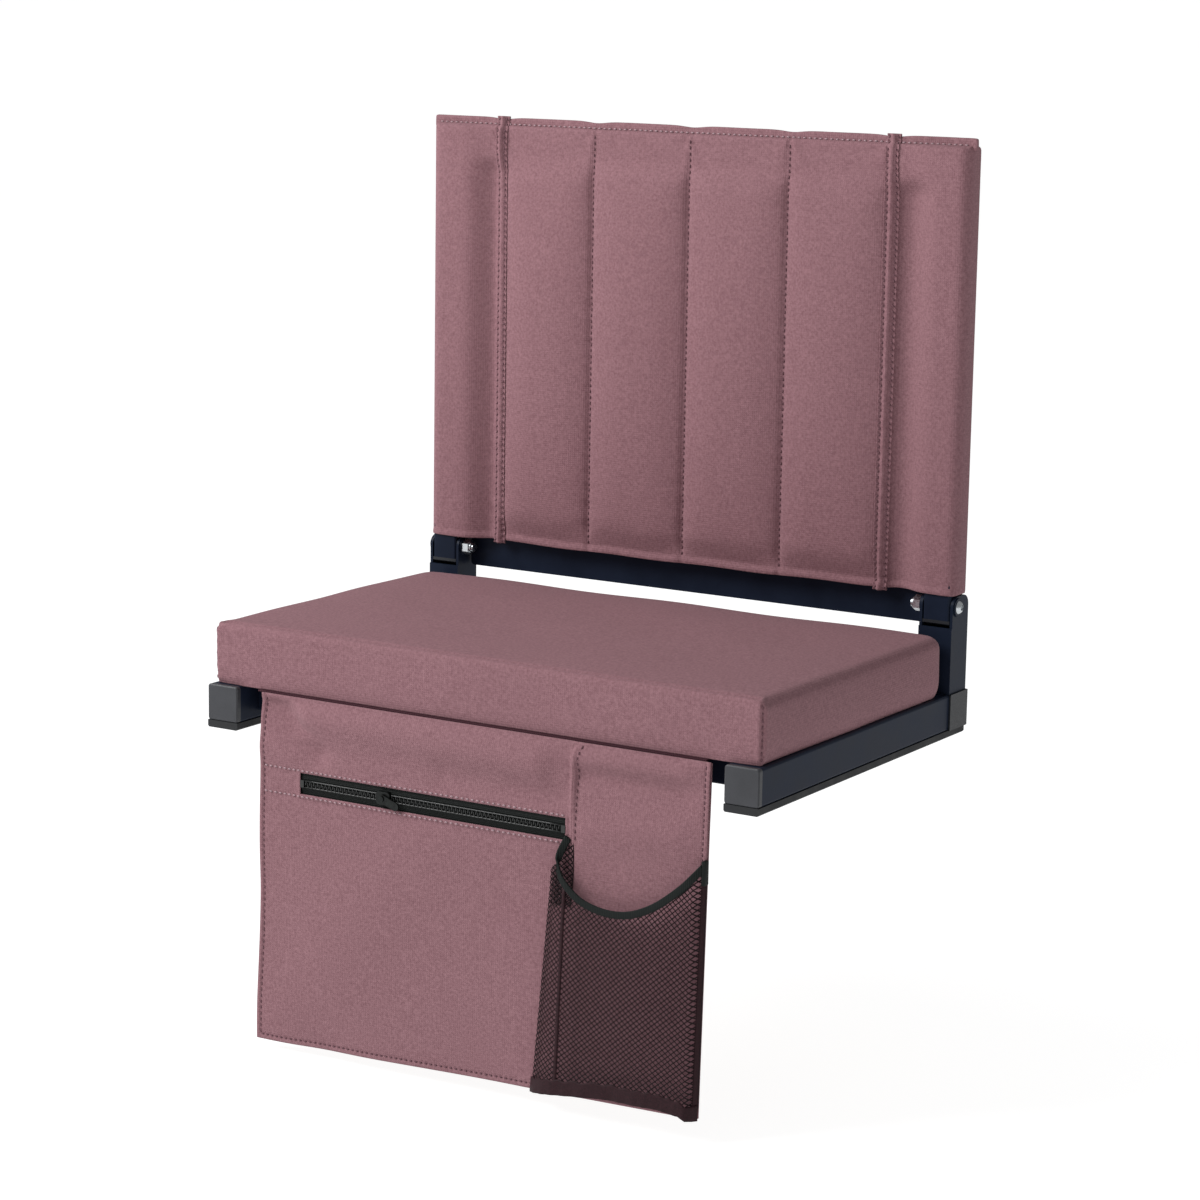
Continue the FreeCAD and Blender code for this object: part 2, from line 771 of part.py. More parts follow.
def zip_pull():
    """A flat tab that swings on the slider's stud, drawn upright and then tilted."""
    y_back = coil_front - slider_clearance - slider_wall - pull_end_gap
    half = pull_width / 2.0
    eye = (slider_rest, zip_level)
    tip = (slider_rest, zip_level + half - pull_length + half)
    steps = [
        ((slider_rest - half, tip[1]),),
        (on_circle(tip, half, 225.0), (slider_rest, tip[1] - half)),
        (on_circle(tip, half, -45.0), (slider_rest + half, tip[1])),
        ((slider_rest + half, zip_level),),
        (on_circle(eye, half, 45.0), (slider_rest, zip_level + half)),
        (on_circle(eye, half, 135.0), (slider_rest - half, zip_level)),
    ]
    tab = outline(on_xz(y_back), (slider_rest - half, zip_level), steps)
    tab = tab.extrude(vector(0, -pull_thickness, 0))
    tab = tab.cut(stud_rod(stud_diameter / 2.0 + pull_clearance, y_back - pull_thickness, y_back))
    tab.rotate(vector(slider_rest, 0, zip_level), vector(0, 1, 0), -pull_tilt)
    return tab


# Net pocket

def mouth_center():
    """Centre and radius of the scooped mouth."""
    half = (pocket_right - pocket_left) / 2.0
    radius = (half * half + mouth_dip * mouth_dip) / (2.0 * mouth_dip)
    return ((pocket_left + pocket_right) / 2.0, mouth_level - mouth_dip + radius), radius


def net_holes():
    """Hexagonal gaps in staggered rows, clear of the edges and of the scooped mouth."""
    center, radius = mouth_center()
    flats = net_pitch - net_strand
    gap = flats / 2.0
    reach = flats / math.sqrt(3.0)
    rise = net_pitch * math.sqrt(3.0) / 2.0
    low = pocket_floor + net_hem + reach
    rows = int((mouth_level - low) / rise) + 1
    columns = int((pocket_right - pocket_left) / net_pitch)
    middle = (pocket_left + pocket_right) / 2.0
    holes = []
    for row in range(rows):
        z = low + row * rise
        for column in range(columns):
            shift = net_row_shift if row % 2 else -net_row_shift
            x = middle + (column - (columns - 1) / 2.0) * net_pitch + shift
            if x - gap < pocket_left + net_strand or x + gap > pocket_right - net_strand:
                continue
            if math.hypot(x - center[0], z - center[1]) < radius + reach + binding_width:
                continue
            if z + reach > mouth_level - binding_width:
                continue
            holes.append(hexagon_ring(on_xz(net_front), (x, z), flats))
    return holes


def mesh_front():
    center, radius = mouth_center()
    steps = [
        ((pocket_right, pocket_floor),),
        ((pocket_right, mouth_level),),
        ((center[0], center[1] - radius), (pocket_left, mouth_level)),
    ]
    sheet = outline(on_xz(net_front), (pocket_left, pocket_floor), steps)
    holes = net_holes()
    print("net gaps", len(holes))
    return Part.Face([sheet.OuterWire] + holes).extrude(vector(0, net_thickness, 0))


def mesh_gusset(front_x, back_x):
    steps = [
        ((front_x + net_thickness, net_front + net_thickness),),
        ((back_x + net_thickness, facing_front),),
        ((back_x, facing_front),),
    ]
    strip = outline(on_xy(pocket_floor), (front_x, net_front + net_thickness), steps)
    return strip.extrude(vector(0, 0, mouth_level - pocket_floor))


def mesh_floor():
    steps = [((pocket_right, net_front),), ((pocket_right + pocket_right_splay, facing_front),),
             ((pocket_left - pocket_splay, facing_front),)]
    floor = outline(on_xy(pocket_floor), (pocket_left, net_front), steps)
    return floor.extrude(vector(0, 0, -net_thickness))


def mesh_binding():
    """Bias tape folded over the scooped mouth, set on the outside of the net."""
    center, radius = mouth_center()
    low = center[1] - radius - binding_width
    steps = [
        ((center[0], center[1] - radius), (pocket_right, mouth_level)),
        ((pocket_right, mouth_level - binding_width),),
        ((center[0], low), (pocket_left, mouth_level - binding_width)),
    ]
    tape = outline(on_xz(net_front), (pocket_left, mouth_level), steps)
    return tape.extrude(vector(0, -binding_thickness, 0))


def build():
    pieces = {
        "front_cross_tube": cross_tube(front_cross_y),
        "rear_cross_tube": cross_tube(rear_cross_y),
        "seat_board": seat_board(),
        "board_screws": board_screws(),
        "seat_foam": seat_foam(),
        "seat_cover": seat_cover(),
        "cover_staples": staple_rows(),
        "pivot_washers": pivot_washers(),
        "back_top_tube": back_top_tube(),
        "top_tube_plugs": top_tube_plugs(),
        "back_cross_bar": back_cross_bar(),
        "back_pads": back_pads(),
        "back_cover": back_cover(),
        "back_seam_strips": seam_strips(),
        "organiser_header": header_tape(),
        "organiser_panel": organiser_panel(),
        "upper_facing": upper_facing(),
        "zip_pocket_front": zip_pocket_front(),
        "pocket_backing": pocket_backing(),
        "zip_tapes": zip_tapes(),
        "zip_coil": zip_coil(),
        "zip_stops": zip_stops(),
        "mesh_front": mesh_front(),
        "mesh_left_gusset": mesh_gusset(pocket_left, pocket_left - pocket_splay),
        "mesh_right_gusset": mesh_gusset(pocket_right - net_thickness,
                                         pocket_right + pocket_right_splay - net_thickness),
        "mesh_floor": mesh_floor(),
        "mesh_binding": mesh_binding(),
        "zip_slider": zip_slider(),
        "zip_pull": zip_pull(),
    }
    pairs = {
        "rail": side_rail,
        "rail_cap": rail_cap,
        "rear_boot": rear_boot,
        "foot_strip": foot_strip,
        "hinge_post": hinge_post,
        "pivot_bolt": pivot_bolt,
        "pivot_nut": pivot_nut,
        "hinge_bush": hinge_bush,
        "back_leg": back_leg,
        "heel_plug": heel_plug,
    }
    for name, make in pairs.items():
        piece = make()
        pieces["right_" + name] = piece
        pieces["left_" + name] = mirrored(piece)
    return pieces


def main():
    os.makedirs("parts", exist_ok=True)
    for name, piece in build().items():
        if not piece.isValid():
            raise ValueError(name + " is not a valid shape")
        piece.exportStep("parts/" + name + ".step")
        print(name, len(piece.Solids), round(piece.Volume, 1))


main()
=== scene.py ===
"""Folding stadium seat: padding, cloth, stitching, zip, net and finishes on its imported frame."""

import math

import bmesh
import bpy
import numpy as np
from mathutils import Matrix, Vector
from mathutils.bvhtree import BVHTree


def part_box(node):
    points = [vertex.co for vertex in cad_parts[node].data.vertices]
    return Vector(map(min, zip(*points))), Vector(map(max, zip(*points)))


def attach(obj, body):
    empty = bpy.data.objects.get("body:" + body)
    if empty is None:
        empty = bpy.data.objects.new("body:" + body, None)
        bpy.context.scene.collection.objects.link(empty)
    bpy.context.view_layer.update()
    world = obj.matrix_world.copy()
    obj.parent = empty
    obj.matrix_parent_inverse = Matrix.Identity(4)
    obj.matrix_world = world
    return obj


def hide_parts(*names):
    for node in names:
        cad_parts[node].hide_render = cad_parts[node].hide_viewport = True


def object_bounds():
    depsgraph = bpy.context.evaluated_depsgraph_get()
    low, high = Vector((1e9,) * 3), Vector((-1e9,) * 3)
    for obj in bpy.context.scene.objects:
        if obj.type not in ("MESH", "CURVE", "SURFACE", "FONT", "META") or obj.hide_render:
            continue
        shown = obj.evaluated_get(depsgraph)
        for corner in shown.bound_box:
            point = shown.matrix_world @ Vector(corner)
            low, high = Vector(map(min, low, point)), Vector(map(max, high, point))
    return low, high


bl_info = {
    "name": "Folding stadium seat",
    "version": (1, 0, 0),
    "blender": (4, 5, 0),
    "location": "View3D > Sidebar > Stadium seat",
    "description": "Dresses the frame of a folding stadium seat with its padding, cloth, zip and net",
    "category": "Object",
}

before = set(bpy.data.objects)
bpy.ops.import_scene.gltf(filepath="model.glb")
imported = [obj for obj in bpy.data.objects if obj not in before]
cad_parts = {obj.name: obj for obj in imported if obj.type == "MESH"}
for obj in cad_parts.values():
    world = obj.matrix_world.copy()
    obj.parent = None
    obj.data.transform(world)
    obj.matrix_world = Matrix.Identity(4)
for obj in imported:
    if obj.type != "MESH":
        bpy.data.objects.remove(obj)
CAD_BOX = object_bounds()
MM = 0.001

# Corners of the solids that the soft pieces stand for.
SEAT_LOW, SEAT_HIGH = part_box("seat_cover")
BACK_LOW, BACK_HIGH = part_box("back_cover")
PANEL_LOW, PANEL_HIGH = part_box("organiser_panel")
FACING_LOW, FACING_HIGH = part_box("zip_pocket_front")
TAPE_LOW, TAPE_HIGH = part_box("zip_tapes")
COIL_LOW, COIL_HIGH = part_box("zip_coil")
BACKING_LOW, BACKING_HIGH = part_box("pocket_backing")
NET_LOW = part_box("mesh_front")[0]
STRIP_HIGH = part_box("back_seam_strips")[1]
LEG_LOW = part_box("right_back_leg")[0]
TOP_TUBE_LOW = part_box("back_top_tube")[0]
CROSS_TUBE_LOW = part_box("front_cross_tube")[0]


def linear(code):
    """Turns an sRGB hex colour to linear red, green and blue."""
    parts = [int(code[k:k + 2], 16) / 255 for k in (1, 3, 5)]
    return [c / 12.92 if c <= 0.04045 else ((c + 0.055) / 1.055) ** 2.4 for c in parts]


def length_setting(name, description, millimetres):
    return bpy.props.FloatProperty(
        name=name, description=description, default=millimetres * MM, precision=5,
        subtype="DISTANCE", unit="LENGTH",
    )


def colour_setting(name, description, code):
    return bpy.props.FloatVectorProperty(
        name=name, description=description, default=linear(code), size=3, min=0, max=1, subtype="COLOR",
    )


class SeatColours(bpy.types.PropertyGroup):
    cloth_light: colour_setting("Cloth, light yarn", "Lighter yarn of the cover cloth", "#906c72")
    cloth_dark: colour_setting("Cloth, dark yarn", "Darker yarn of the cover cloth", "#735157")
    thread: colour_setting("Seam thread", "Thread of the seams", "#66454d")
    thread_light: colour_setting("Hem thread", "Thread beside the zip and along the top hem", "#a0868c")
    steel: colour_setting("Frame steel", "Powder coat of the frame", "#171d2a")
    caps: colour_setting("Caps", "Moulded caps on the rails' front ends", "#36373b")
    boots: colour_setting("Boots", "Moulded rear boots and plugs", "#191c21")
    rubber: colour_setting("Rubber", "Foot strips", "#17181a")
    zinc: colour_setting("Zinc", "Bolts, nuts, screws and staples", "#c9cdd0")
    tape: colour_setting("Tape", "Zip tape, coil and slider", "#0f1211")
    binding: colour_setting("Binding", "Binding of the net's mouth", "#131716")
    net: colour_setting("Net", "Yarn of the net pocket", "#1d1316")
    net_hem: colour_setting("Net hem", "Doubled edges of the net pocket", "#2a181c")
    header: colour_setting("Header", "Tape that the organiser hangs from", "#3d232a")
    wood: colour_setting("Plywood", "Seat board", "#c9a878")
    nylon: colour_setting("Nylon", "Hinge bushes", "#d9d4c6")
    floor: colour_setting("Floor", "Floor under the seat", "#959595")


class SeatPadding(bpy.types.PropertyGroup):
    grid: length_setting("Grid", "Spacing of the cloth mesh before it swells", 5.5)
    seat_swell: length_setting("Seat swell", "How far the seat's cloth may swell", 3.0)
    back_swell: length_setting("Back swell", "How far the back's channels may swell", 2.5)
    channel: length_setting("Channel", "How far the back's channels stand out before they swell", 5.0)
    pressure: bpy.props.FloatProperty(
        name="Pressure", description="Pressure of the padding on its cloth", default=4.0, min=0,
    )
    steps: bpy.props.IntProperty(
        name="Steps", description="Frames that the cloth is simulated for", default=20, min=1,
    )


class SeatSewing(bpy.types.PropertyGroup):
    pitch: length_setting("Pitch", "From one stitch to the next", 4.2)
    stitch: length_setting("Stitch", "Length of a stitch on the cloth", 2.8)
    thread: length_setting("Thread", "Diameter of the thread", 1.3)
    cloth: length_setting("Cloth", "Thickness of the organiser's cloth", 0.9)
    cloth_grid: length_setting("Cloth grid", "Spacing of the organiser's mesh", 3.5)
    net_cell: length_setting("Net cell", "Side of a cell of the net", 3.1)
    net_yarn: length_setting("Net yarn", "Width of the net's yarn", 0.8)
    tooth_pitch: length_setting("Zip pitch", "From one turn of the zip's coil to the next", 1.6)


class SeatStage(bpy.types.PropertyGroup):
    floor_drop: length_setting("Floor drop", "Gap between the organiser and the floor", 12.0)
    key: bpy.props.FloatProperty(
        name="Key light", description="Power of the softbox", default=70.0, unit="POWER",
    )
    key_size: length_setting("Softbox", "Side of the softbox", 1400.0)
    key_place: bpy.props.FloatVectorProperty(
        name="Softbox place", description="Where the softbox stands", default=(-1.4, -1.25, 1.62),
        subtype="TRANSLATION", unit="LENGTH",
    )
    room: bpy.props.FloatProperty(name="Room light", description="Strength of the room's light", default=0.36)
    eye: bpy.props.FloatVectorProperty(
        name="Camera", description="Where the camera stands", default=(1.18494, -1.90953, 0.51632),
        subtype="TRANSLATION", unit="LENGTH",
    )
    turn: bpy.props.FloatVectorProperty(
        name="Camera turn", description="Yaw, pitch and roll of the camera",
        default=[math.radians(angle) for angle in (31.64, -10.74, 0.92)], subtype="EULER", unit="ROTATION",
    )
    lens: bpy.props.FloatProperty(
        name="Lens", description="Focal length on a 36 mm sensor", default=100.76, unit="CAMERA",
    )


class StadiumSeat(bpy.types.PropertyGroup):
    colours: bpy.props.PointerProperty(type=SeatColours, name="Colours", description="Finishes")
    padding: bpy.props.PointerProperty(type=SeatPadding, name="Padding", description="Seat and back")
    sewing: bpy.props.PointerProperty(type=SeatSewing, name="Sewing", description="Cloth, net and zip")
    stage: bpy.props.PointerProperty(type=SeatStage, name="Stage", description="Floor, light and camera")


# Materials

CANVAS = "heathered polyester canvas"


def add_node(tree, kind, settings=None, inputs=None):
    """Adds a node with its settings; an input given as a socket is linked, any other is set."""
    node = tree.nodes.new(kind)
    for name, value in (settings or {}).items():
        setattr(node, name, value)
    for name, value in (inputs or {}).items():
        if isinstance(value, bpy.types.NodeSocket):
            tree.links.new(value, node.inputs[name])
        else:
            node.inputs[name].default_value = value
    return node


def start_material(name, **sockets):
    """Starts a material: gives its tree, its Principled shader with sockets set, and Object coordinates."""
    material = bpy.data.materials.new(name)
    material.use_nodes = True
    tree = material.node_tree
    tree.nodes.clear()
    inputs = {key.replace("_", " ").title().replace("Ior", "IOR"): value for key, value in sockets.items()}
    shader = add_node(tree, "ShaderNodeBsdfPrincipled", inputs=inputs)
    add_node(tree, "ShaderNodeOutputMaterial", inputs={"Surface": shader.outputs["BSDF"]})
    return tree, shader, add_node(tree, "ShaderNodeTexCoord").outputs["Object"]


def noise(tree, vector, size_mm, detail=2.0, roughness=0.55):
    """Cloudy noise whose blobs are about size_mm across."""
    return add_node(
        tree, "ShaderNodeTexNoise",
        inputs={"Vector": vector, "Scale": 1 / (size_mm * MM), "Detail": detail, "Roughness": roughness},
    ).outputs[0]


def bands(tree, vector, direction, pitch_mm):
    """Smooth bands pitch_mm apart; the texture's own period is a tenth of pi at scale 1."""
    return add_node(
        tree, "ShaderNodeTexWave", {"bands_direction": direction, "wave_profile": "SIN"},
        {"Vector": vector, "Scale": math.pi / 10 / (pitch_mm * MM), "Distortion": 0.0},
    ).outputs[1]


def stretched(tree, vector, scale):
    return add_node(tree, "ShaderNodeMapping", inputs={"Vector": vector, "Scale": scale}).outputs[0]


def ranged(tree, value, low, high, start=0.3, end=0.7):
    return add_node(
        tree, "ShaderNodeMapRange",
        inputs={"Value": value, "From Min": start, "From Max": end, "To Min": low, "To Max": high},
    ).outputs[0]


def multiplied(tree, first, second):
    return add_node(tree, "ShaderNodeMath", {"operation": "MULTIPLY"}, {0: first, 1: second}).outputs[0]


def mixed(tree, factor, first, second):
    return add_node(
        tree, "ShaderNodeMix", {"data_type": "RGBA"}, {0: factor, 6: first, 7: second}
    ).outputs[2]


def opaque(colour, brightness=1.0):
    return [channel * brightness for channel in colour] + [1.0]


def toned(tree, value, colour, dark, light, start=0.3, end=0.7):
    """A colour between two brightnesses of it, as a value goes from start to end."""
    share = ranged(tree, value, 0, 1, start, end)
    return mixed(tree, share, opaque(colour, dark), opaque(colour, light))


def surface(tree, shader, colour, roughness=None, height=None, distance_mm=0.0, strength=1.0):
    """Links a shader's colour and roughness, and raises its surface by a height."""
    tree.links.new(colour, shader.inputs["Base Color"])
    if roughness:
        tree.links.new(roughness, shader.inputs["Roughness"])
    if height:
        raised = add_node(
            tree, "ShaderNodeBump",
            inputs={"Height": height, "Distance": distance_mm * MM, "Strength": strength},
        )
        tree.links.new(raised.outputs[0], shader.inputs["Normal"])


def woven_polyester(colours):
    """Heathered polyester canvas, plain woven: matt, speckled, with a faint sheen at grazing angles."""
    tree, shader, place = start_material(
        CANVAS, specular_ior_level=0.12, sheen_weight=0.05, sheen_roughness=0.45
    )
    weave = add_node(tree, "ShaderNodeUVMap", {"uv_map": "weave"}).outputs[0]
    # Threads lie about 0.5 mm apart, and are drawn 1.5 mm apart so that the weave shows.
    thread_mm = 1.5
    cells = multiplied(tree, bands(tree, weave, "X", thread_mm), bands(tree, weave, "Y", thread_mm))
    speckle = noise(tree, place, 1.8, detail=3.0, roughness=0.7)
    cloud = noise(tree, place, 60.0)
    light, dark = opaque(colours.cloth_light), opaque(colours.cloth_dark)
    yarn = mixed(tree, ranged(tree, speckle, 0.0, 1.0), dark, light)
    shade = mixed(tree, ranged(tree, cloud, 0.0, 0.12), yarn, dark)
    woven = mixed(tree, ranged(tree, cells, 0.0, 0.14, 0.0, 1.0), shade, light)
    relief = mixed(tree, 0.5, cells, speckle)
    surface(tree, shader, woven, ranged(tree, speckle, 0.78, 0.95), relief, 0.35, 0.8)


def sewing_thread(name, colour):
    """Twisted polyester thread: matt, with the twist as fine slanting bands."""
    tree, shader, place = start_material(name, roughness=0.7, specular_ior_level=0.3)
    twist = bands(tree, place, "DIAGONAL", 0.6)
    surface(tree, shader, toned(tree, twist, colour, 0.7, 1.15))


def powder_coated_steel(colours):
    """Blue-black polyester powder baked on steel: satin, with a faint orange peel and dust."""
    tree, shader, place = start_material("powder-coated steel", ior=1.5, specular_ior_level=0.05)
    peel = noise(tree, place, 2.2, detail=1.0)
    dust = noise(tree, place, 35.0, detail=4.0)
    tone = toned(tree, dust, colours.steel, 1.0, 1.5)
    surface(tree, shader, tone, ranged(tree, dust, 0.30, 0.42), peel, 0.06, 0.5)


def moulded_polypropylene(name, colour):
    """Dyed polypropylene from a spark-eroded mould: fine even grain, low gloss."""
    tree, shader, place = start_material(name, ior=1.49, specular_ior_level=0.35)
    grain = noise(tree, place, 0.9)
    tone = toned(tree, noise(tree, place, 18.0), colour, 0.85, 1.1)
    surface(tree, shader, tone, ranged(tree, grain, 0.42, 0.56), grain, 0.12, 0.6)


def extruded_rubber(colours):
    """Black rubber strip, extruded: dull, with drawn lines along its length and pale dust."""
    tree, shader, place = start_material("extruded rubber", ior=1.52, specular_ior_level=0.35)
    lines = noise(tree, stretched(tree, place, (1, 0.03, 1)), 0.9)
    dust = noise(tree, place, 14.0, detail=4.0)
    tone = toned(tree, dust, colours.rubber, 1.0, 2.2)
    surface(tree, shader, tone, ranged(tree, dust, 0.62, 0.85), lines, 0.15, 0.6)


def zinc_plated_steel(colours):
    """Bright zinc on cold-formed steel: silver, slightly cloudy, finely crystalline."""
    tree, shader, place = start_material("zinc-plated steel", metallic=1.0)
    cloud = noise(tree, place, 3.0, detail=3.0)
    tone = toned(tree, cloud, colours.zinc, 0.8, 1.0)
    surface(tree, shader, tone, ranged(tree, cloud, 0.2, 0.36), noise(tree, place, 0.5), 0.02, 0.4)


def birch_plywood(colours):
    """Sanded birch plywood: long pale grain on its face and thin brown glue lines on its edges."""
    tree, shader, place = start_material("birch plywood", specular_ior_level=0.3)
    grain = noise(tree, stretched(tree, place, (0.05, 1, 1)), 2.5, detail=5.0, roughness=0.6)
    glue = ranged(tree, bands(tree, place, "Z", 1.8), 0.25, 0.0, 0.0, 0.4)
    tone = mixed(tree, glue, toned(tree, grain, colours.wood, 0.68, 1.05), opaque(colours.wood, 0.4))
    surface(tree, shader, tone, ranged(tree, grain, 0.6, 0.8), grain, 0.15, 0.5)


def ribbed_tape(name, colour, direction, rib_mm):
    """Woven polyester tape: dark, matt, with fine cross ribs whose crests carry a painted highlight; the fuzz
    varies its tone at random.
    """
    tree, shader, place = start_material(name, specular_ior_level=0.15)
    fuzz = noise(tree, place, 1.2, detail=3.0)
    height = mixed(tree, 0.35, bands(tree, place, direction, rib_mm), fuzz)
    # Painted highlight: the rib crests are coloured lighter than the troughs, mixed with random tone from the
    # fuzz.
    tone = toned(tree, height, colour, 0.7, 1.5, 0.2, 0.8)
    surface(tree, shader, tone, ranged(tree, fuzz, 0.55, 0.75), height, 0.25, 0.8)


def knitted_net(name, colour):
    """Warp-knitted polyester net yarn: dark red-black filaments with hardly any gloss."""
    tree, shader, place = start_material(name, specular_ior_level=0.12)
    strand = noise(tree, place, 0.8)
    tone = toned(tree, strand, colour, 0.6, 1.5)
    surface(tree, shader, tone, ranged(tree, strand, 0.5, 0.7), strand, 0.15, 0.7)


def drawn_nylon(name, colour, gloss):
    """Nylon, moulded or drawn to a filament: slightly waxy gloss, faintly uneven."""
    tree, shader, place = start_material(name, ior=1.53)
    flow = noise(tree, place, 1.5)
    tone = toned(tree, flow, colour, 0.8, 1.1)
    surface(tree, shader, tone, ranged(tree, flow, gloss, gloss + 0.12), flow, 0.04, 0.4)


def lacquered_zinc(colours):
    """Die-cast zinc with black lacquer, as zip sliders have: satin, worn a little paler."""
    tree, shader, place = start_material("lacquered zinc casting", metallic=0.6)
    wear = noise(tree, place, 2.0, detail=4.0)
    tone = toned(tree, wear, colours.tape, 0.8, 3.0, 0.4, 0.8)
    surface(tree, shader, tone, ranged(tree, wear, 0.3, 0.5), wear, 0.03, 0.4)


def matt_floor(colours):
    """Seamless white paper lit from below: flat, faintly fibrous, with hardly a shadow on it."""
    tree, shader, place = start_material(
        "matt paper floor", roughness=0.95, specular_ior_level=0.1, emission_color=(1, 1, 1, 1),
        emission_strength=0.89,
    )
    fibre = noise(tree, place, 4.0, detail=3.0)
    surface(tree, shader, toned(tree, fibre, colours.floor, 0.985, 1.0))


def finish(name):
    """The material of that name, made by the finishes operator."""
    return bpy.data.materials[name]


# Mesh helpers


def coordinates(mesh):
    points = np.empty(len(mesh.vertices) * 3)
    mesh.vertices.foreach_get("co", points)
    return points.reshape(-1, 3)


def set_coordinates(mesh, points):
    mesh.vertices.foreach_set("co", np.ascontiguousarray(points).ravel())
    mesh.update()


def vertex_normals(mesh):
    normals = np.empty(len(mesh.vertices) * 3)
    mesh.vertex_normals.foreach_get("vector", normals)
    return normals.reshape(-1, 3)


def smooth_step(value, start, end):
    share = np.clip((value - start) / (end - start), 0, 1)
    return share * share * (3 - 2 * share)


def bump(value, middle, width):
    """A smooth bump of height 1 round a place."""
    return np.exp(-(((value - middle) / width) ** 2))


def wave(value, length, phase=0.0):
    return np.sin(value * 2 * math.pi / length + phase)


def mm(*values):
    return Vector(values) * MM


def spread(low, high, step, near_ends=()):
    """Places between low and high, about step apart, with extra ones near both ends."""
    count = max(1, round((high - low) / step))
    places = [low + (high - low) * k / count for k in range(1, count)]
    margin = max(near_ends, default=0) + step / 2
    inner = [place for place in places if low + margin < place < high - margin]
    return sorted(inner + [low + d for d in near_ends] + [high - d for d in near_ends])


def cut_grid(bm, cuts):
    """Cuts a mesh by planes square to X, Y and Z at the given places."""
    for axis, places in enumerate(cuts):
        normal = Vector([float(axis == k) for k in range(3)])
        for place in places:
            geometry = bm.verts[:] + bm.edges[:] + bm.faces[:]
            bmesh.ops.bisect_plane(bm, geom=geometry, dist=1e-6, plane_co=normal * place, plane_no=normal)


def gridded_box(low, high, cuts):
    bm = bmesh.new()
    bmesh.ops.create_cube(bm, size=1.0)
    bmesh.ops.scale(bm, vec=high - low, verts=bm.verts)
    bmesh.ops.translate(bm, vec=(low + high) / 2, verts=bm.verts)
    cut_grid(bm, cuts)
    return bm


def gridded_sheet(low, high, cuts):
    """A flat sheet square to Y between two corners, facing the front."""
    bm = bmesh.new()
    bmesh.ops.create_grid(bm, x_segments=1, y_segments=1, size=0.5)
    bmesh.ops.rotate(bm, matrix=Matrix.Rotation(math.pi / 2, 3, "X"), verts=bm.verts)
    bmesh.ops.scale(bm, vec=(high.x - low.x, 1, high.z - low.z), verts=bm.verts)
    bmesh.ops.translate(bm, vec=(low + high) / 2, verts=bm.verts)
    cut_grid(bm, cuts)
    return bm


def join(target, other):
    """Adds another bmesh to a bmesh and frees it."""
    spare = bpy.data.meshes.new("spare")
    other.to_mesh(spare)
    other.free()
    target.from_mesh(spare)
    bpy.data.meshes.remove(spare)


def curve_mesh(routes, **settings):
    """A mesh of smooth curves along routes of points, with the curve settings given."""
    curve = bpy.data.curves.new("route", "CURVE")
    curve.dimensions = "3D"
    for name, value in settings.items():
        setattr(curve, name, value)
    for route in routes:
        spline = curve.splines.new("NURBS")
        spline.points.add(len(route) - 1)
        for point, place in zip(spline.points, route):
            point.co = (*place, 1)
        spline.order_u = 3
        spline.use_endpoint_u = True
    holder = bpy.data.objects.new("route", curve)
    mesh = bpy.data.meshes.new_from_object(holder)
    bpy.data.objects.remove(holder)
    bpy.data.curves.remove(curve)
    return mesh


def round_corners(points, axes, low, high, radius):
    """Rounds a box's corners in the plane of two axes; radius is for the second axis's low and high end."""
    second = axes[1]
    radii = np.where(points[:, second] < (low[second] + high[second]) / 2, radius[0], radius[1])
    away = np.zeros((len(points), 2))
    for column, axis in enumerate(axes):
        value = points[:, axis]
        away[:, column] = value - np.clip(value, low[axis] + radii, high[axis] - radii)
    flat = np.hypot(away[:, 0], away[:, 1])
    share = np.abs(away).max(axis=1) / np.maximum(flat, 1e-12)
    for column, axis in enumerate(axes):
        points[:, axis] -= away[:, column] * (1 - share) * (flat > 0)


def path_distance(points, path):
    """Distance of each point from a path of straight runs."""
    nearest = np.full(len(points), np.inf)
    for start, end in zip(path[:-1], path[1:]):
        start, run = np.array(start), np.array(end) - np.array(start)
        share = np.clip((points - start) @ run / (run @ run), 0, 1)
        nearest = np.minimum(nearest, np.linalg.norm(points - start - share[:, None] * run, axis=1))
    return nearest


def press_seam(points, normals, path, depth, width, lip=0.0):
    """Sinks a seam into cloth along a path, with a soft lip on both sides."""
    away = path_distance(points, path)
    shift = lip * bump(away, 2.4 * width, width) - depth * bump(away, 0, width)
    points += normals * shift[:, None]


def lay_weave(mesh):
    """Gives each face a flat map of the weave in metres, seen square to the face's main direction."""
    points = coordinates(mesh)
    corner_vertex = np.empty(len(mesh.loops), dtype=np.int32)
    mesh.loops.foreach_get("vertex_index", corner_vertex)
    totals = np.empty(len(mesh.polygons), dtype=np.int32)
    mesh.polygons.foreach_get("loop_total", totals)
    normals = np.empty(len(mesh.polygons) * 3)
    mesh.polygons.foreach_get("normal", normals)
    main = np.repeat(np.abs(normals.reshape(-1, 3)).argmax(axis=1), totals)
    place = points[corner_vertex]
    across = np.where(main == 0, place[:, 1], place[:, 0])
    up = np.where(main == 2, place[:, 1], place[:, 2])
    layer = mesh.uv_layers.new(name="weave")
    layer.data.foreach_set("uv", np.column_stack([across, up]).ravel())


def make_piece(name, bm, material, body, replaced=()):
    """Turns a bmesh to a piece that rides on a body and stands for CAD nodes."""
    mesh = bpy.data.meshes.new(name)
    bm.to_mesh(mesh)
    bm.free()
    mesh.shade_smooth()
    piece = bpy.data.objects.new(name, mesh)
    bpy.context.scene.collection.objects.link(piece)
    mesh.materials.append(finish(material))
    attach(piece, body)
    if replaced:
        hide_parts(*replaced)
    return piece


def subdivide(piece):
    modifier = piece.modifiers.new("soft surface", "SUBSURF")
    modifier.levels = 1
    modifier.render_levels = 1


def thicken(piece, thickness):
    modifier = piece.modifiers.new("cloth thickness", "SOLIDIFY")
    modifier.thickness = thickness
    modifier.offset = 0.0


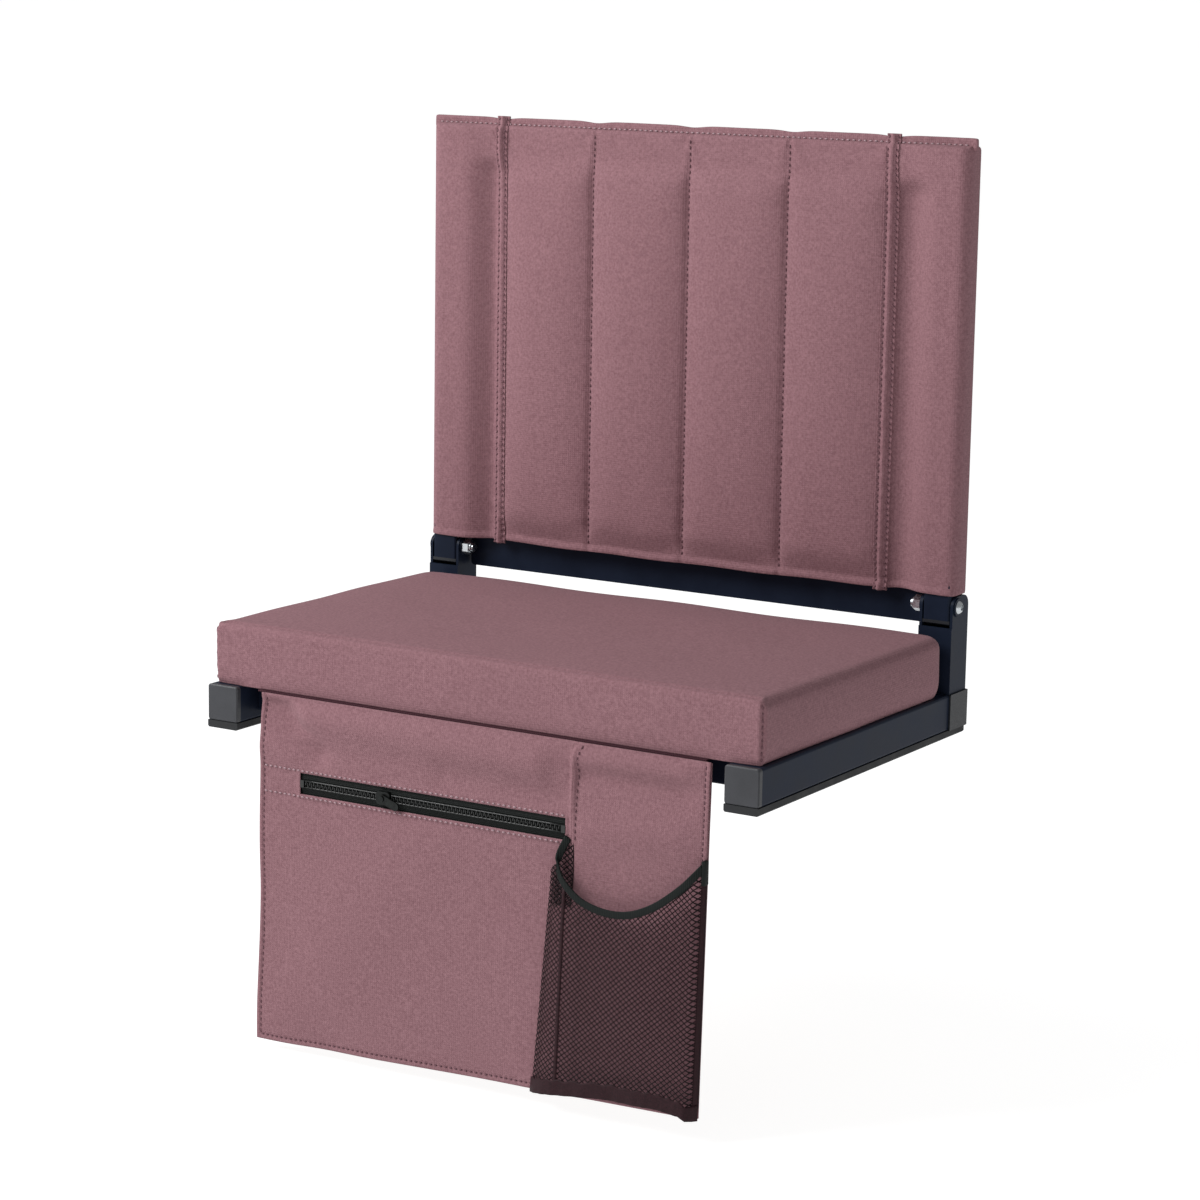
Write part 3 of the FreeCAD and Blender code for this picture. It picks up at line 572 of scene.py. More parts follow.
def swell(piece, held, padding, cap, share=1.0):
    """Swells a closed cloth with pressure inside; each point goes its share of the way, up to the cap."""
    scene = bpy.context.scene
    start = coordinates(piece.data)
    group = piece.vertex_groups.new(name="held")
    group.add(np.flatnonzero(held).tolist(), 1.0, "REPLACE")
    modifier = piece.modifiers.new("swell", "CLOTH")
    cloth = modifier.settings
    cloth.quality = 6
    cloth.mass = 0.2
    cloth.tension_stiffness = 20
    cloth.compression_stiffness = 20
    cloth.shear_stiffness = 10
    cloth.bending_stiffness = 0.8
    cloth.use_pressure = True
    cloth.uniform_pressure_force = padding.pressure
    cloth.vertex_group_mass = group.name
    cloth.effector_weights.gravity = 0
    modifier.point_cache.frame_start = 1
    modifier.point_cache.frame_end = padding.steps
    for step in range(1, padding.steps + 1):
        scene.frame_set(step)
    shown = piece.evaluated_get(bpy.context.evaluated_depsgraph_get())
    moved = coordinates(shown.data) - start
    piece.modifiers.remove(modifier)
    piece.vertex_groups.remove(group)
    scene.frame_set(1)
    far = np.linalg.norm(moved, axis=1)
    soft = cap * np.tanh(far / cap) * share / np.maximum(far, 1e-9)
    set_coordinates(piece.data, start + moved * soft[:, None])


def search_tree(*pieces):
    """A search tree over the final surfaces of one or more pieces."""
    shown = bpy.context.evaluated_depsgraph_get()
    joined = bmesh.new()
    for piece in pieces:
        joined.from_mesh(piece.evaluated_get(shown).to_mesh())
    tree = BVHTree.FromBMesh(joined)
    joined.free()
    return tree


# Share of the thread that a stitch is lifted by, and how far off the cloth its row may be.
STITCH_LIFT = 0.2
SEW_REACH = 50 * MM


def sew(bm, tree, path, sewing, slant=0.0, toward=(0, 1, 0)):
    """Lays stitches where a path meets the cloth when moved toward it, turned from the row by a slant."""
    toward = Vector(toward).normalized()
    size = Matrix.Diagonal((sewing.stitch / 2, sewing.thread / 2, sewing.thread / 2, 1))
    lean = Matrix.Rotation(slant, 4, "Z")
    for start, end in zip(path[:-1], path[1:]):
        count = max(1, round((end - start).length / sewing.pitch))
        step = (end - start) / count
        for k in range(count):
            spot, normal, _, _ = tree.ray_cast(start + step * (k + 0.5) - toward * SEW_REACH, toward)
            if spot is None:
                continue
            along = (step - normal * step.dot(normal)).normalized()
            turn = Matrix((along, normal.cross(along), normal)).transposed().to_4x4()
            place = Matrix.Translation(spot + normal * sewing.thread * STITCH_LIFT) @ turn @ lean @ size
            bmesh.ops.create_icosphere(bm, subdivisions=1, radius=1.0, matrix=place)


# Seat cushion

SEAT_START_LOW = SEAT_LOW + mm(0.5, 0.4, 0)
SEAT_START_HIGH = SEAT_HIGH - mm(0.5, 0.4, 2.6)
SEAT_CORNERS = (3.5 * MM, 16 * MM)
FRONT_RIM, SIDE_RIM, REAR_RIM = 4.5 * MM, 9 * MM, 11 * MM
RIM_BLEND = 12 * MM
FRONT_TUCK, SIDE_TUCK, TUCK_REACH = 0.8 * MM, 3.2 * MM, 12 * MM
SEAT_EDGE_CUTS = [d * MM for d in (0.6, 1.8, 3.2, 4.4, 5.2, 6.2, 8, 11)]
SEAT_ROWS = 3 * MM
EDGE_SEAM_BACK = 5.2 * MM
HEM_OPENING_LOW, HEM_OPENING_HIGH = mm(-192, -117, 0), mm(192, 95, 0)
BOARD_ROOM = 11 * MM
RIPPLE = 0.45 * MM
# Depth, width and lip of the pressed seams.
EDGE_SEAM = 1.6 * MM, 1.5 * MM, 0.5 * MM
CORNER_SEAM = 1.5 * MM, 1.4 * MM, 0.2 * MM
PUCKER, PUCKER_REACH, PUCKER_PITCH = 0.5 * MM, 6 * MM, 8 * MM


def plan_edge(points, low, high):
    """Depth inside the cushion's rounded outline, the way out, and how much nearer a side is than an end."""
    flat = points[:, :2] - np.array((low + high) / 2)[:2]
    radius = np.where(flat[:, 1] < 0, *SEAT_CORNERS)[:, None]
    over = np.abs(flat) - np.array((high - low) / 2)[:2] + radius
    outside = np.maximum(over, 0)
    far = np.linalg.norm(outside, axis=1, keepdims=True)
    straight = np.eye(2)[over.argmax(axis=1)]
    outward = np.where(far > 0, outside / np.maximum(far, 1e-12), straight) * np.sign(flat)
    depth = radius - far - np.minimum(over.max(axis=1, keepdims=True), 0)
    return depth[:, 0], outward, over[:, 0] - over[:, 1]


def shape_cushion(points, low, high):
    """Rounds the cushion's corners and rims and tucks its sides in; tells which points its rims hold."""
    round_corners(points, (0, 1), low, high, SEAT_CORNERS)
    depth, outward, sideways = plan_edge(points, low, high)
    side = smooth_step(sideways, -RIM_BLEND, RIM_BLEND)
    front = points[:, 1] < 0
    end_rim = np.where(front, FRONT_RIM, REAR_RIM)
    rim = end_rim + (SIDE_RIM - end_rim) * side
    reach_in = np.maximum(rim - depth, 0)
    reach_up = np.maximum(rim - (high.z - points[:, 2]), 0)
    spare = 1 - np.maximum(reach_in, reach_up) / np.maximum(np.hypot(reach_in, reach_up), 1e-12)
    end_tuck = np.where(front, FRONT_TUCK, SIDE_TUCK)
    tuck = end_tuck + (SIDE_TUCK - end_tuck) * side
    tuck *= np.clip(1 - (points[:, 2] - low.z) / TUCK_REACH, 0, 1) ** 2
    tuck *= np.clip(1 - depth / TUCK_REACH, 0, 1)
    points[:, :2] -= outward * (reach_in * spare + tuck)[:, None]
    points[:, 2] -= reach_up * spare
    return (reach_in > 0) & (reach_up > 0)


def seat_seams():
    """Paths of the seams on the cushion: behind the front top edge, and down both front corners."""
    top, front = SEAT_START_HIGH.z, SEAT_START_LOW.y
    inner = SEAT_START_HIGH.x - 7 * MM
    edge = [Vector((-inner, front + EDGE_SEAM_BACK, top)), Vector((inner, front + EDGE_SEAM_BACK, top))]
    bend = SEAT_CORNERS[0] * (1 - math.sqrt(0.5))
    corners = []
    for side in (-1, 1):
        x = side * (SEAT_START_HIGH.x - bend)
        corners.append([Vector((x, front + bend, z)) for z in (SEAT_LOW.z + 2 * MM, top - 3 * MM)])
    return edge, corners


def open_underside(mesh):
    """Opens the cover under the board, where its hem is stapled."""
    bm = bmesh.new()
    bm.from_mesh(mesh)
    hole = []
    for face in bm.faces:
        middle = face.calc_center_median()
        inside = all(HEM_OPENING_LOW[k] < middle[k] < HEM_OPENING_HIGH[k] for k in (0, 1))
        if face.normal.z < -0.9 and middle.z < SEAT_LOW.z + 2 * MM and inside:
            hole.append(face)
    made = bmesh.ops.extrude_face_region(bm, geom=hole)["geom"]
    lifted = [item for item in made if isinstance(item, bmesh.types.BMVert)]
    bmesh.ops.translate(bm, vec=(0, 0, BOARD_ROOM), verts=lifted)
    left = [face for face in hole if face.is_valid]
    bmesh.ops.delete(bm, geom=left, context="FACES")
    bm.to_mesh(mesh)
    bm.free()


def build_cushion(settings):
    low, high = SEAT_START_LOW, SEAT_START_HIGH
    steps = (settings.padding.grid, settings.padding.grid, SEAT_ROWS)
    cuts = [spread(low[k], high[k], steps[k], SEAT_EDGE_CUTS) for k in range(3)]
    piece = make_piece(
        "seat_cushion", gridded_box(low, high, cuts), CANVAS, "seat_frame",
        ("seat_cover", "seat_foam"),
    )
    mesh = piece.data
    points = coordinates(mesh)
    held = shape_cushion(points, low, high) | (points[:, 2] < low.z + 2.5 * MM)
    set_coordinates(mesh, points)
    # The top swells freely, and the cloth is pulled tighter round the sides and most at the front.
    across, along, up = np.abs(vertex_normals(mesh)).T
    share = np.minimum(up + 0.6 * across + np.where(points[:, 1] < 0, 0.35, 0.6) * along, 1)
    swell(piece, held, settings.padding, settings.padding.seat_swell, share)
    points, normals = coordinates(mesh), vertex_normals(mesh)
    x, y, z = points.T
    ripple = wave(x, 0.15, 1.7 * np.sin(y * 21)) * wave(y, 0.19, z * 60)
    points += normals * (RIPPLE * ripple)[:, None]
    edge, corners = seat_seams()
    press_seam(points, normals, edge, *EDGE_SEAM)
    for corner in corners:
        press_seam(points, normals, corner, *CORNER_SEAM)
        pucker = PUCKER * np.exp(-path_distance(points, corner) / PUCKER_REACH)
        points += normals * (pucker * wave(points[:, 2], PUCKER_PITCH))[:, None]
    points[:, 2] = np.maximum(points[:, 2], low.z)
    set_coordinates(mesh, points)
    open_underside(mesh)
    lay_weave(mesh)
    subdivide(piece)
    tree = search_tree(piece)
    bm = bmesh.new()
    for side, corner in zip((-1, 1), corners):
        sew(bm, tree, corner, settings.sewing, toward=(-side, 1, 0))
    make_piece("seat_stitching", bm, "seam thread", "seat_frame")


# Back cover

STRIP_HALF = 5 * MM
FELLED_X = STRIP_HIGH.x - STRIP_HALF
PLAIN_SEAMS = [-FELLED_X / 2, 0.0, FELLED_X / 2]
BACK_SEAMS = [-FELLED_X] + PLAIN_SEAMS + [FELLED_X]
COVER_FRONT = LEG_LOW.y - 1.0 * MM
COVER_REAR = BACK_HIGH.y - 0.4 * MM
FLANGE_BASE = BACK_HIGH.z - 5 * MM
COVER_TOP = FLANGE_BASE + 1.2 * MM
HEM_MIDDLE = TOP_TUBE_LOW.y + 3 * MM
SHOULDER = 3 * MM
# Radii of the leg sleeves in front and behind, and of the cover's lower and upper corners.
SLEEVE_ROUND = (8.5 * MM, 5 * MM)
COVER_ROUND = (2 * MM, 1.5 * MM)
TOP_SUNK = 3.6 * MM
SLEEVE_INNER = (191 * MM, 164 * MM)
# How far below the top the band over the tube ends and the channels begin, and their height at the hem.
TOP_BAND, CHANNEL_TOP, CHANNEL_FOOT = (21.5 * MM, 34 * MM), (18 * MM, 40 * MM), 18 * MM
HEM_ROW = BACK_LOW.z + 5.5 * MM
SEAM_CUTS = [d * MM for d in (0, -1.4, 1.4, -3.2, 3.2, -5.2, 5.2, -8, 8)]
BACK_ROWS = 4 * MM
SEAM_ROOM = 10.5 * MM
BACK_EDGE_CUTS = [
    [d * MM for d in cuts]
    for cuts in ((0.8, 2.2, 4.2, 7, 10.5), (1.2, 3.4, 6.5), (0.8, 2.2, 4.0, 5.5, 7.2))
]
# Depth and width of the grooves of the plain seams in front and of all seams behind.
PLAIN_GROOVE, REAR_GROOVE = (1.2 * MM, 2.2 * MM), (0.4 * MM, 2.5 * MM)
GATHER, GATHER_REACH, GATHER_PITCH = 0.6 * MM, 6 * MM, 11 * MM
STAR, STAR_DROP, STAR_HEIGHT, STAR_REACH = 1.1 * MM, 10 * MM, 13 * MM, 12 * MM
TUBE_COVERED, TUBE_CLEAR = 18.5 * MM, 0.7 * MM

# How far the cover lies behind its leg sleeves, from left to right, before the channels stand out.
SUNK_PROFILE = [
    (-191, 0), (-184, 0.5), (-181, 1.6), (-164, 11), (-162, 7), (-152, 6.6), (-148, 5.4), (-78.5, 2.5),
    (78.5, 2.5), (147, 5), (152, 6), (162, 6.4), (164.5, 9.5), (170, 11), (175, 10), (188.5, 1), (191, 0),
]


def channel_shape(across):
    """Height of a flat-topped pillow between each pair of seams, as a share."""
    place = np.interp(across, BACK_SEAMS, range(len(BACK_SEAMS))) % 1
    return 1 - np.abs(2 * place - 1) ** 5


def shape_back(points, low, high, channel):
    """Forms the leg sleeves, the sunk seams, the channels and the shoulder over the top tube."""
    round_corners(points, (0, 1), low, high, SLEEVE_ROUND)
    round_corners(points, (0, 2), low, high, COVER_ROUND)
    x, y, z = points.T
    share = (high.y - y) / (high.y - low.y)
    places, depths = np.array(SUNK_PROFILE).T * MM
    top = TOP_SUNK * smooth_step(np.abs(x), *SLEEVE_INNER)
    below = smooth_step(z, high.z - TOP_BAND[0], high.z - TOP_BAND[1])
    sunk = top + (np.interp(x, places, depths) - top) * below
    rise = smooth_step(z, high.z - CHANNEL_TOP[0], high.z - CHANNEL_TOP[1])
    rise *= smooth_step(z, HEM_ROW, HEM_ROW + CHANNEL_FOOT)
    points[:, 1] += (sunk - channel * channel_shape(x) * rise) * share
    lean = np.clip((z - (high.z - SHOULDER)) / SHOULDER, 0, 1)
    points[:, 1] += (HEM_MIDDLE - points[:, 1]) * (1 - np.sqrt(1 - lean ** 2)) * 0.85


def press_back_seams(points, front, rear, top):
    """Sinks the seams into the cover and gathers the cloth along them, with a star of folds at their tops."""
    x, _, z = points.T.copy()
    phases = np.random.default_rng(7).uniform(0, 2 * math.pi, len(BACK_SEAMS))
    for seam, phase in zip(BACK_SEAMS, phases):
        away = np.abs(x - seam)
        gather = wave(z, GATHER_PITCH, phase + 5 * np.sin(z * 35 + phase))
        points[:, 1] += GATHER * np.exp(-away / GATHER_REACH) * gather * front
        star = bump(z, top - STAR_DROP, STAR_HEIGHT) * np.exp(-away / STAR_REACH)
        fan = np.sin(np.arctan2(x - seam, top + 4 * MM - z) * 7 + phase)
        points[:, 1] += STAR * star * fan * front
        if seam in PLAIN_SEAMS:
            points[:, 1] += PLAIN_GROOVE[0] * bump(x, seam, PLAIN_GROOVE[1]) * front
        points[:, 1] -= REAR_GROOVE[0] * bump(x, seam, REAR_GROOVE[1]) * rear
    row, roll = bump(z, HEM_ROW, 1.4 * MM), bump(z, BACK_LOW.z + 2.2 * MM, 2.4 * MM)
    points[:, 1] += (0.4 * row - 0.9 * roll) * MM * front
    points[:, 2] += 0.35 * MM * wave(x, 0.083) * smooth_step(z, 0.125, 0.1)
    # The folds stay off the top tube.
    clear = TOP_TUBE_LOW.y - TUBE_CLEAR
    over_tube = front & (z > TOP_TUBE_LOW.z - 3 * MM) & (z < TOP_TUBE_LOW.z + TUBE_COVERED)
    points[:, 1] = np.where(over_tube, np.minimum(points[:, 1], clear), points[:, 1])


def build_back(settings):
    low = Vector((BACK_LOW.x + 0.6 * MM, COVER_FRONT, BACK_LOW.z + 0.3 * MM))
    high = Vector((BACK_HIGH.x - 0.6 * MM, COVER_REAR, COVER_TOP))
    grid = settings.padding.grid
    plain = spread(low.x, high.x, grid, BACK_EDGE_CUTS[0])
    across = [x for x in plain if min(abs(x - seam) for seam in BACK_SEAMS) > SEAM_ROOM]
    across += [seam + d for seam in BACK_SEAMS for d in SEAM_CUTS]
    deep = spread(low.y, high.y, grid, BACK_EDGE_CUTS[1])
    up = spread(low.z, high.z, BACK_ROWS, BACK_EDGE_CUTS[2])
    piece = make_piece(
        "back_cover_padded", gridded_box(low, high, [sorted(across), deep, up]), CANVAS, "backrest",
        ("back_cover", "back_pads"),
    )
    mesh = piece.data
    points = coordinates(mesh)
    front = points[:, 1] < low.y + 0.1 * MM
    rear = points[:, 1] > high.y - 0.1 * MM
    shape_back(points, low, high, settings.padding.channel)
    set_coordinates(mesh, points)
    near = np.abs(points[:, 0][:, None] - np.array(PLAIN_SEAMS)).min(axis=1)
    held = ~front | (np.abs(points[:, 0]) > FELLED_X - 5 * MM) | (near < 0.5 * MM)
    held |= (points[:, 2] > high.z - 10 * MM) | (points[:, 2] < HEM_ROW + 1.0 * MM)
    swell(piece, held, settings.padding, settings.padding.back_swell)
    points = coordinates(mesh)
    press_back_seams(points, front, rear, high.z)
    set_coordinates(mesh, points)
    lay_weave(mesh)
    subdivide(piece)
    hem = build_top_hem()
    strips = build_felled_seams(search_tree(piece, hem))
    sew_back(settings.sewing, piece, hem, strips)


def build_top_hem():
    """The flat hem that stands above the top tube, a little drawn down at each seam."""
    low = Vector((BACK_LOW.x - 0.3 * MM, HEM_MIDDLE - 1.5 * MM, FLANGE_BASE - 2 * MM))
    high = Vector((BACK_HIGH.x + 1.5 * MM, HEM_MIDDLE + 1.5 * MM, BACK_HIGH.z + 1.2 * MM))
    cuts = [
        spread(low.x, high.x, 4 * MM, [1 * MM]), spread(low.y, high.y, 1.5 * MM, [0.5 * MM]),
        spread(low.z, high.z, 1.5 * MM, [0.5 * MM]),
    ]
    piece = make_piece("back_top_hem", gridded_box(low, high, cuts), CANVAS, "backrest")
    points = coordinates(piece.data)
    round_corners(points, (1, 2), low, high, (0.5 * MM, 1.2 * MM))
    round_corners(points, (0, 2), low, high, (0.5 * MM, 1.5 * MM))
    x = points[:, 0]
    rise = smooth_step(points[:, 2], low.z, high.z)
    for seam in BACK_SEAMS:
        points[:, 2] -= 1.3 * MM * rise * bump(x, seam, 9 * MM)
    points[:, 1] += 0.5 * MM * rise * wave(x, 0.061)
    points[:, 1] += 0.3 * MM * wave(x, 0.0093, 3 * np.sin(x * 50))
    set_coordinates(piece.data, points)
    lay_weave(piece.data)
    subdivide(piece)
    return piece


STRIP_ROW = 3.3 * MM
STRIP_PITCH = 4.2 * MM
STRIP_CUTS = [side * d * MM for d in (0.8, 1.6, 2.4, 3.0, 3.5, 4.0, 4.5) for side in (-1, 1)]
STRIP_ENDS = (BACK_LOW.z - 1.6 * MM, BACK_HIGH.z + 2.0 * MM)


def build_felled_seams(tree):
    """The two raised seams beside the leg sleeves, laid on the cover."""
    bm = bmesh.new()
    for seam in (-FELLED_X, FELLED_X):
        low = Vector((seam - STRIP_HALF, 0, STRIP_ENDS[0]))
        high = Vector((seam + STRIP_HALF, 1 * MM, STRIP_ENDS[1]))
        across = sorted(seam + cut for cut in STRIP_CUTS + [0.0])
        strip = gridded_box(low, high, [across, [], spread(low.z, high.z, STRIP_PITCH / 4)])
        for vertex in strip.verts:
            lay_on_cover(vertex, seam, tree)
        join(bm, strip)
    piece = make_piece("back_felled_seams", bm, CANVAS, "backrest", ("back_seam_strips",))
    lay_weave(piece.data)
    return piece


def lay_on_cover(vertex, seam, tree):
    """Moves a point of a felled seam onto the cover: a round rib between two rows of tucked stitches."""
    x, y, z = vertex.co
    away = abs(x - seam)
    height = min(max(z, BACK_LOW.z + 2 * MM), BACK_HIGH.z - 2 * MM)
    cover = tree.ray_cast(Vector((x, BACK_LOW.y - 50 * MM, height)), Vector((0, 1, 0)))[0].y
    tuck = wave(z, STRIP_PITCH, 0.7 * (x - seam) / MM)
    raised = 0.9 + 2.0 * bump(away, 0, 1.9 * MM) - (0.6 + 0.5 * tuck) * bump(away, STRIP_ROW, 1.0 * MM)
    vertex.co.y = cover - raised * MM if y == 0 else cover + 0.8 * MM
    vertex.co.x += 0.3 * MM * tuck * (x - seam) / STRIP_HALF


def sew_back(sewing, cover, hem, strips):
    dark, light = bmesh.new(), bmesh.new()
    tree = search_tree(cover)
    for seam in PLAIN_SEAMS:
        row = [Vector((seam, COVER_FRONT, z)) for z in (HEM_ROW, COVER_TOP - 4 * MM)]
        sew(dark, tree, row, sewing)
        sew(dark, tree, row, sewing, toward=(0, -1, 0))
    strip_tree = search_tree(strips)
    for seam in (-FELLED_X, FELLED_X):
        for side in (-1, 1):
            row = [Vector((seam + side * STRIP_ROW, COVER_FRONT, z)) for z in STRIP_ENDS]
            sew(dark, strip_tree, row, sewing, slant=side * math.radians(35))
    edge = BACK_HIGH.x - 4 * MM
    row = FLANGE_BASE + 1.4 * MM
    sew(light, search_tree(hem), [Vector((x, COVER_FRONT, row)) for x in (-edge, edge)], sewing)
    make_piece("back_stitching", dark, "seam thread", "backrest")
    make_piece("back_hem_stitching", light, "hem thread", "backrest")


# Organiser

ZIP_MIDDLE = (COIL_LOW.z + COIL_HIGH.z) / 2
ZIP_HALF = 7.4 * MM
# How far the tape runs on under the cloth.
TAPE_UNDER = 3 * MM
ZIP_LEFT, ZIP_RIGHT = TAPE_LOW.x + 0.6 * MM, TAPE_HIGH.x - TAPE_UNDER
DIVIDER = BACKING_LOW.x
FACING_TOP = PANEL_HIGH.z + 0.8 * MM
FACING_DEPTH = (FACING_LOW.y + FACING_HIGH.y) / 2
FACING_LEAN = 0.6 * MM
HEM_STITCH = 3.2 * MM
EDGE_FLARE = 4.5 * MM
PLACKET = ((83, 28), (79, 17), (78, -36))
HEM_CUTS = [d * MM for d in (0.8, 1.6, 2.4, 3.2, 4.2, 5.5)]
HOLE_CUTS = [d * MM for d in (0, 0.7, 1.5, 2.6)]
HOLE_LIP, HOLE_LIP_WIDTH = 0.8 * MM, 1.0 * MM

# Folds of the hanging cloth in mm: a route on the cloth, the fold's width and how far it stands out.
FOLDS = [
    (((-132, 17), (50, 11)), 13, 4.6),
    (((-166, 26), (-124, -8)), 9, -5.0),
    (((-168, -8), (-150, -16)), 9, 2.0),
    (((-20, -8), (66, -12)), 10, -2.4),
    (((88, 20), (158, 22)), 8, 3.4),
    (((86, 8), (156, 4)), 8, -3.2),
    (((92, -28), (152, -22)), 13, 2.2),
    (((-150, -190), (-40, -60)), 34, 2.4),
    (((-175, -110), (-120, -205)), 26, -2.0),
    (PLACKET, 2.0, 1.9),
]
# The height at which the cloth comes closest to the front cross tube when it swings under the seat.
TUBE_MEETS = PANEL_HIGH.z - math.hypot(CROSS_TUBE_LOW.y - PANEL_HIGH.y, PANEL_HIGH.z - CROSS_TUBE_LOW.z)


def hang(points):
    """Drapes the organiser's flat cloth: folds, hems, and edges that hang a little askew."""
    x, _, z = points.T.copy()
    flat = np.column_stack([x, z])
    down = np.clip((PANEL_HIGH.z - z) / (PANEL_HIGH.z - PANEL_LOW.z), 0, 1)
    forward = sum(
        rise * bump(path_distance(flat, np.array(route) * MM), 0, width * MM) for route, width, rise in FOLDS
    )
    forward += down * smooth_step(x, 0.08, 0.02) * wave(x, 0.21, z * 9)
    # Folds that go back leave the cross tube its room.
    room = 0.7 + 0.8 * np.abs(z - TUBE_MEETS) / MM
    forward = np.where(forward < 0, room * np.tanh(forward / room), forward)
    # The top edge stays on its header, and the zip lies flat for its slider.
    zip_calm = 1 - bump(z, ZIP_MIDDLE, 14 * MM) * smooth_step(x, 0.09, 0.07)
    free = smooth_step(z, PANEL_HIGH.z, PANEL_HIGH.z - 7 * MM)
    rim = np.minimum(np.minimum(x - PANEL_LOW.x, PANEL_HIGH.x - x), z - PANEL_LOW.z)
    hem = 0.5 * bump(rim, 1.4 * MM, 1.4 * MM) - 0.4 * bump(rim, HEM_STITCH, 0.8 * MM)
    points[:, 1] -= (forward * free * zip_calm + hem) * MM
    points[:, 0] += EDGE_FLARE * (1 - down) * smooth_step(np.abs(x), 0.1, 0.17)
    points[:, 2] += tilt(x) * down * smooth_step(down, 0.2, 0.9)


def tilt(x):
    """How much higher the organiser's lower edge hangs towards its right."""
    return (5.2 * x / PANEL_HIGH.x - 0.6) * MM


def hung_sheet(name, low, high, depth, replaced, sewing, hole=None):
    """A hung cloth between two corners, with an optional opening whose edges are turned in."""
    across = spread(low.x, high.x, sewing.cloth_grid, HEM_CUTS)
    up = spread(low.z, high.z, sewing.cloth_grid, HEM_CUTS)
    if hole:
        across += [hole[0] - d for d in HOLE_CUTS] + [hole[1] + d for d in HOLE_CUTS]
        up += [hole[2] - d for d in HOLE_CUTS] + [hole[3] + d for d in HOLE_CUTS]
    corner, far_corner = Vector((low.x, depth, low.z)), Vector((high.x, depth, high.z))
    bm = gridded_sheet(corner, far_corner, [sorted(across), [], sorted(up)])
    if hole:
        middles = [(face, face.calc_center_median()) for face in bm.faces]
        inside = [
            face for face, middle in middles
            if hole[0] < middle.x < hole[1] and hole[2] < middle.z < hole[3]
        ]
        bmesh.ops.delete(bm, geom=inside, context="FACES")
    piece = make_piece(name, bm, CANVAS, "organiser", replaced)
    lay_weave(piece.data)
    points = coordinates(piece.data)
    if hole:
        beside = np.maximum(np.maximum(hole[0] - points[:, 0], points[:, 0] - hole[1]), 0)
        above = np.maximum(np.maximum(hole[2] - points[:, 2], points[:, 2] - hole[3]), 0)
        points[:, 1] -= HOLE_LIP * bump(np.hypot(beside, above), HOLE_LIP_WIDTH, HOLE_LIP_WIDTH)
    hang(points)
    if depth < PANEL_LOW.y:
        points[:, 1] += FACING_LEAN * smooth_step(points[:, 2], FACING_TOP - 9 * MM, FACING_TOP)
    set_coordinates(piece.data, points)
    thicken(piece, sewing.cloth)
    return piece


def build_organiser(settings):
    sewing = settings.sewing
    low, high = PANEL_LOW, PANEL_HIGH
    back = hung_sheet("organiser_back", low, high, (low.y + high.y) / 2, ("organiser_panel",), sewing)
    hole = (ZIP_LEFT, ZIP_RIGHT, ZIP_MIDDLE - ZIP_HALF, ZIP_MIDDLE + ZIP_HALF)
    front = hung_sheet(
        "organiser_front", FACING_LOW, Vector((DIVIDER, 0, FACING_TOP)), FACING_DEPTH,
        ("upper_facing", "zip_pocket_front"), sewing, hole,
    )
    right = hung_sheet(
        "pocket_back", BACKING_LOW, Vector((BACKING_HIGH.x, 0, FACING_TOP)), FACING_DEPTH - 0.4 * MM,
        ("pocket_backing",), sewing,
    )
    sew_organiser(sewing, search_tree(back, front, right))


def hung_row(*places):
    """A row of stitches between places on the organiser, in mm, as the cloth hangs."""
    flat = np.array([(x, FACING_LOW.y / MM - 1.5, z) for x, z in places]) * MM
    fine = [flat[0]]
    for start, end in zip(flat[:-1], flat[1:]):
        count = max(1, round(np.linalg.norm(end - start) / (12 * MM)))
        fine += [start + (end - start) * (k + 1) / count for k in range(count)]
    fine = np.array(fine)
    hang(fine)
    return [Vector(point) for point in fine]


def sew_organiser(sewing, tree):
    left, right = (PANEL_LOW.x + HEM_STITCH) / MM, (PANEL_HIGH.x - HEM_STITCH) / MM
    top, bottom = FACING_TOP / MM - 2, (PANEL_LOW.z + HEM_STITCH) / MM
    dark, light = bmesh.new(), bmesh.new()
    sew(dark, tree, hung_row((left, top), (left, bottom), (55, bottom)), sewing)
    sew(dark, tree, hung_row((right, top), (right, -40)), sewing)
    sew(dark, tree, hung_row((100, bottom), (right, bottom)), sewing)
    sew(dark, tree, hung_row(*((x + 3.2, z) for x, z in PLACKET)), sewing)
    for side in (-1, 1):
        level = (ZIP_MIDDLE + side * (ZIP_HALF + 1.5 * MM)) / MM
        sew(light, tree, hung_row((left, level), (ZIP_RIGHT / MM, level)), sewing)
    make_piece("organiser_stitching", dark, "seam thread", "organiser")
    make_piece("zip_stitching", light, "hem thread", "organiser")


# Zip

TOOTH_SIZE = Matrix.Diagonal((0.5 * MM, 0.55 * MM, 1.75 * MM, 1))
TOOTH_LEAN, TOOTH_OFF = math.radians(14), 0.75 * MM
CORD_LEVEL, CORD_HALF = 2.2 * MM, 0.35 * MM


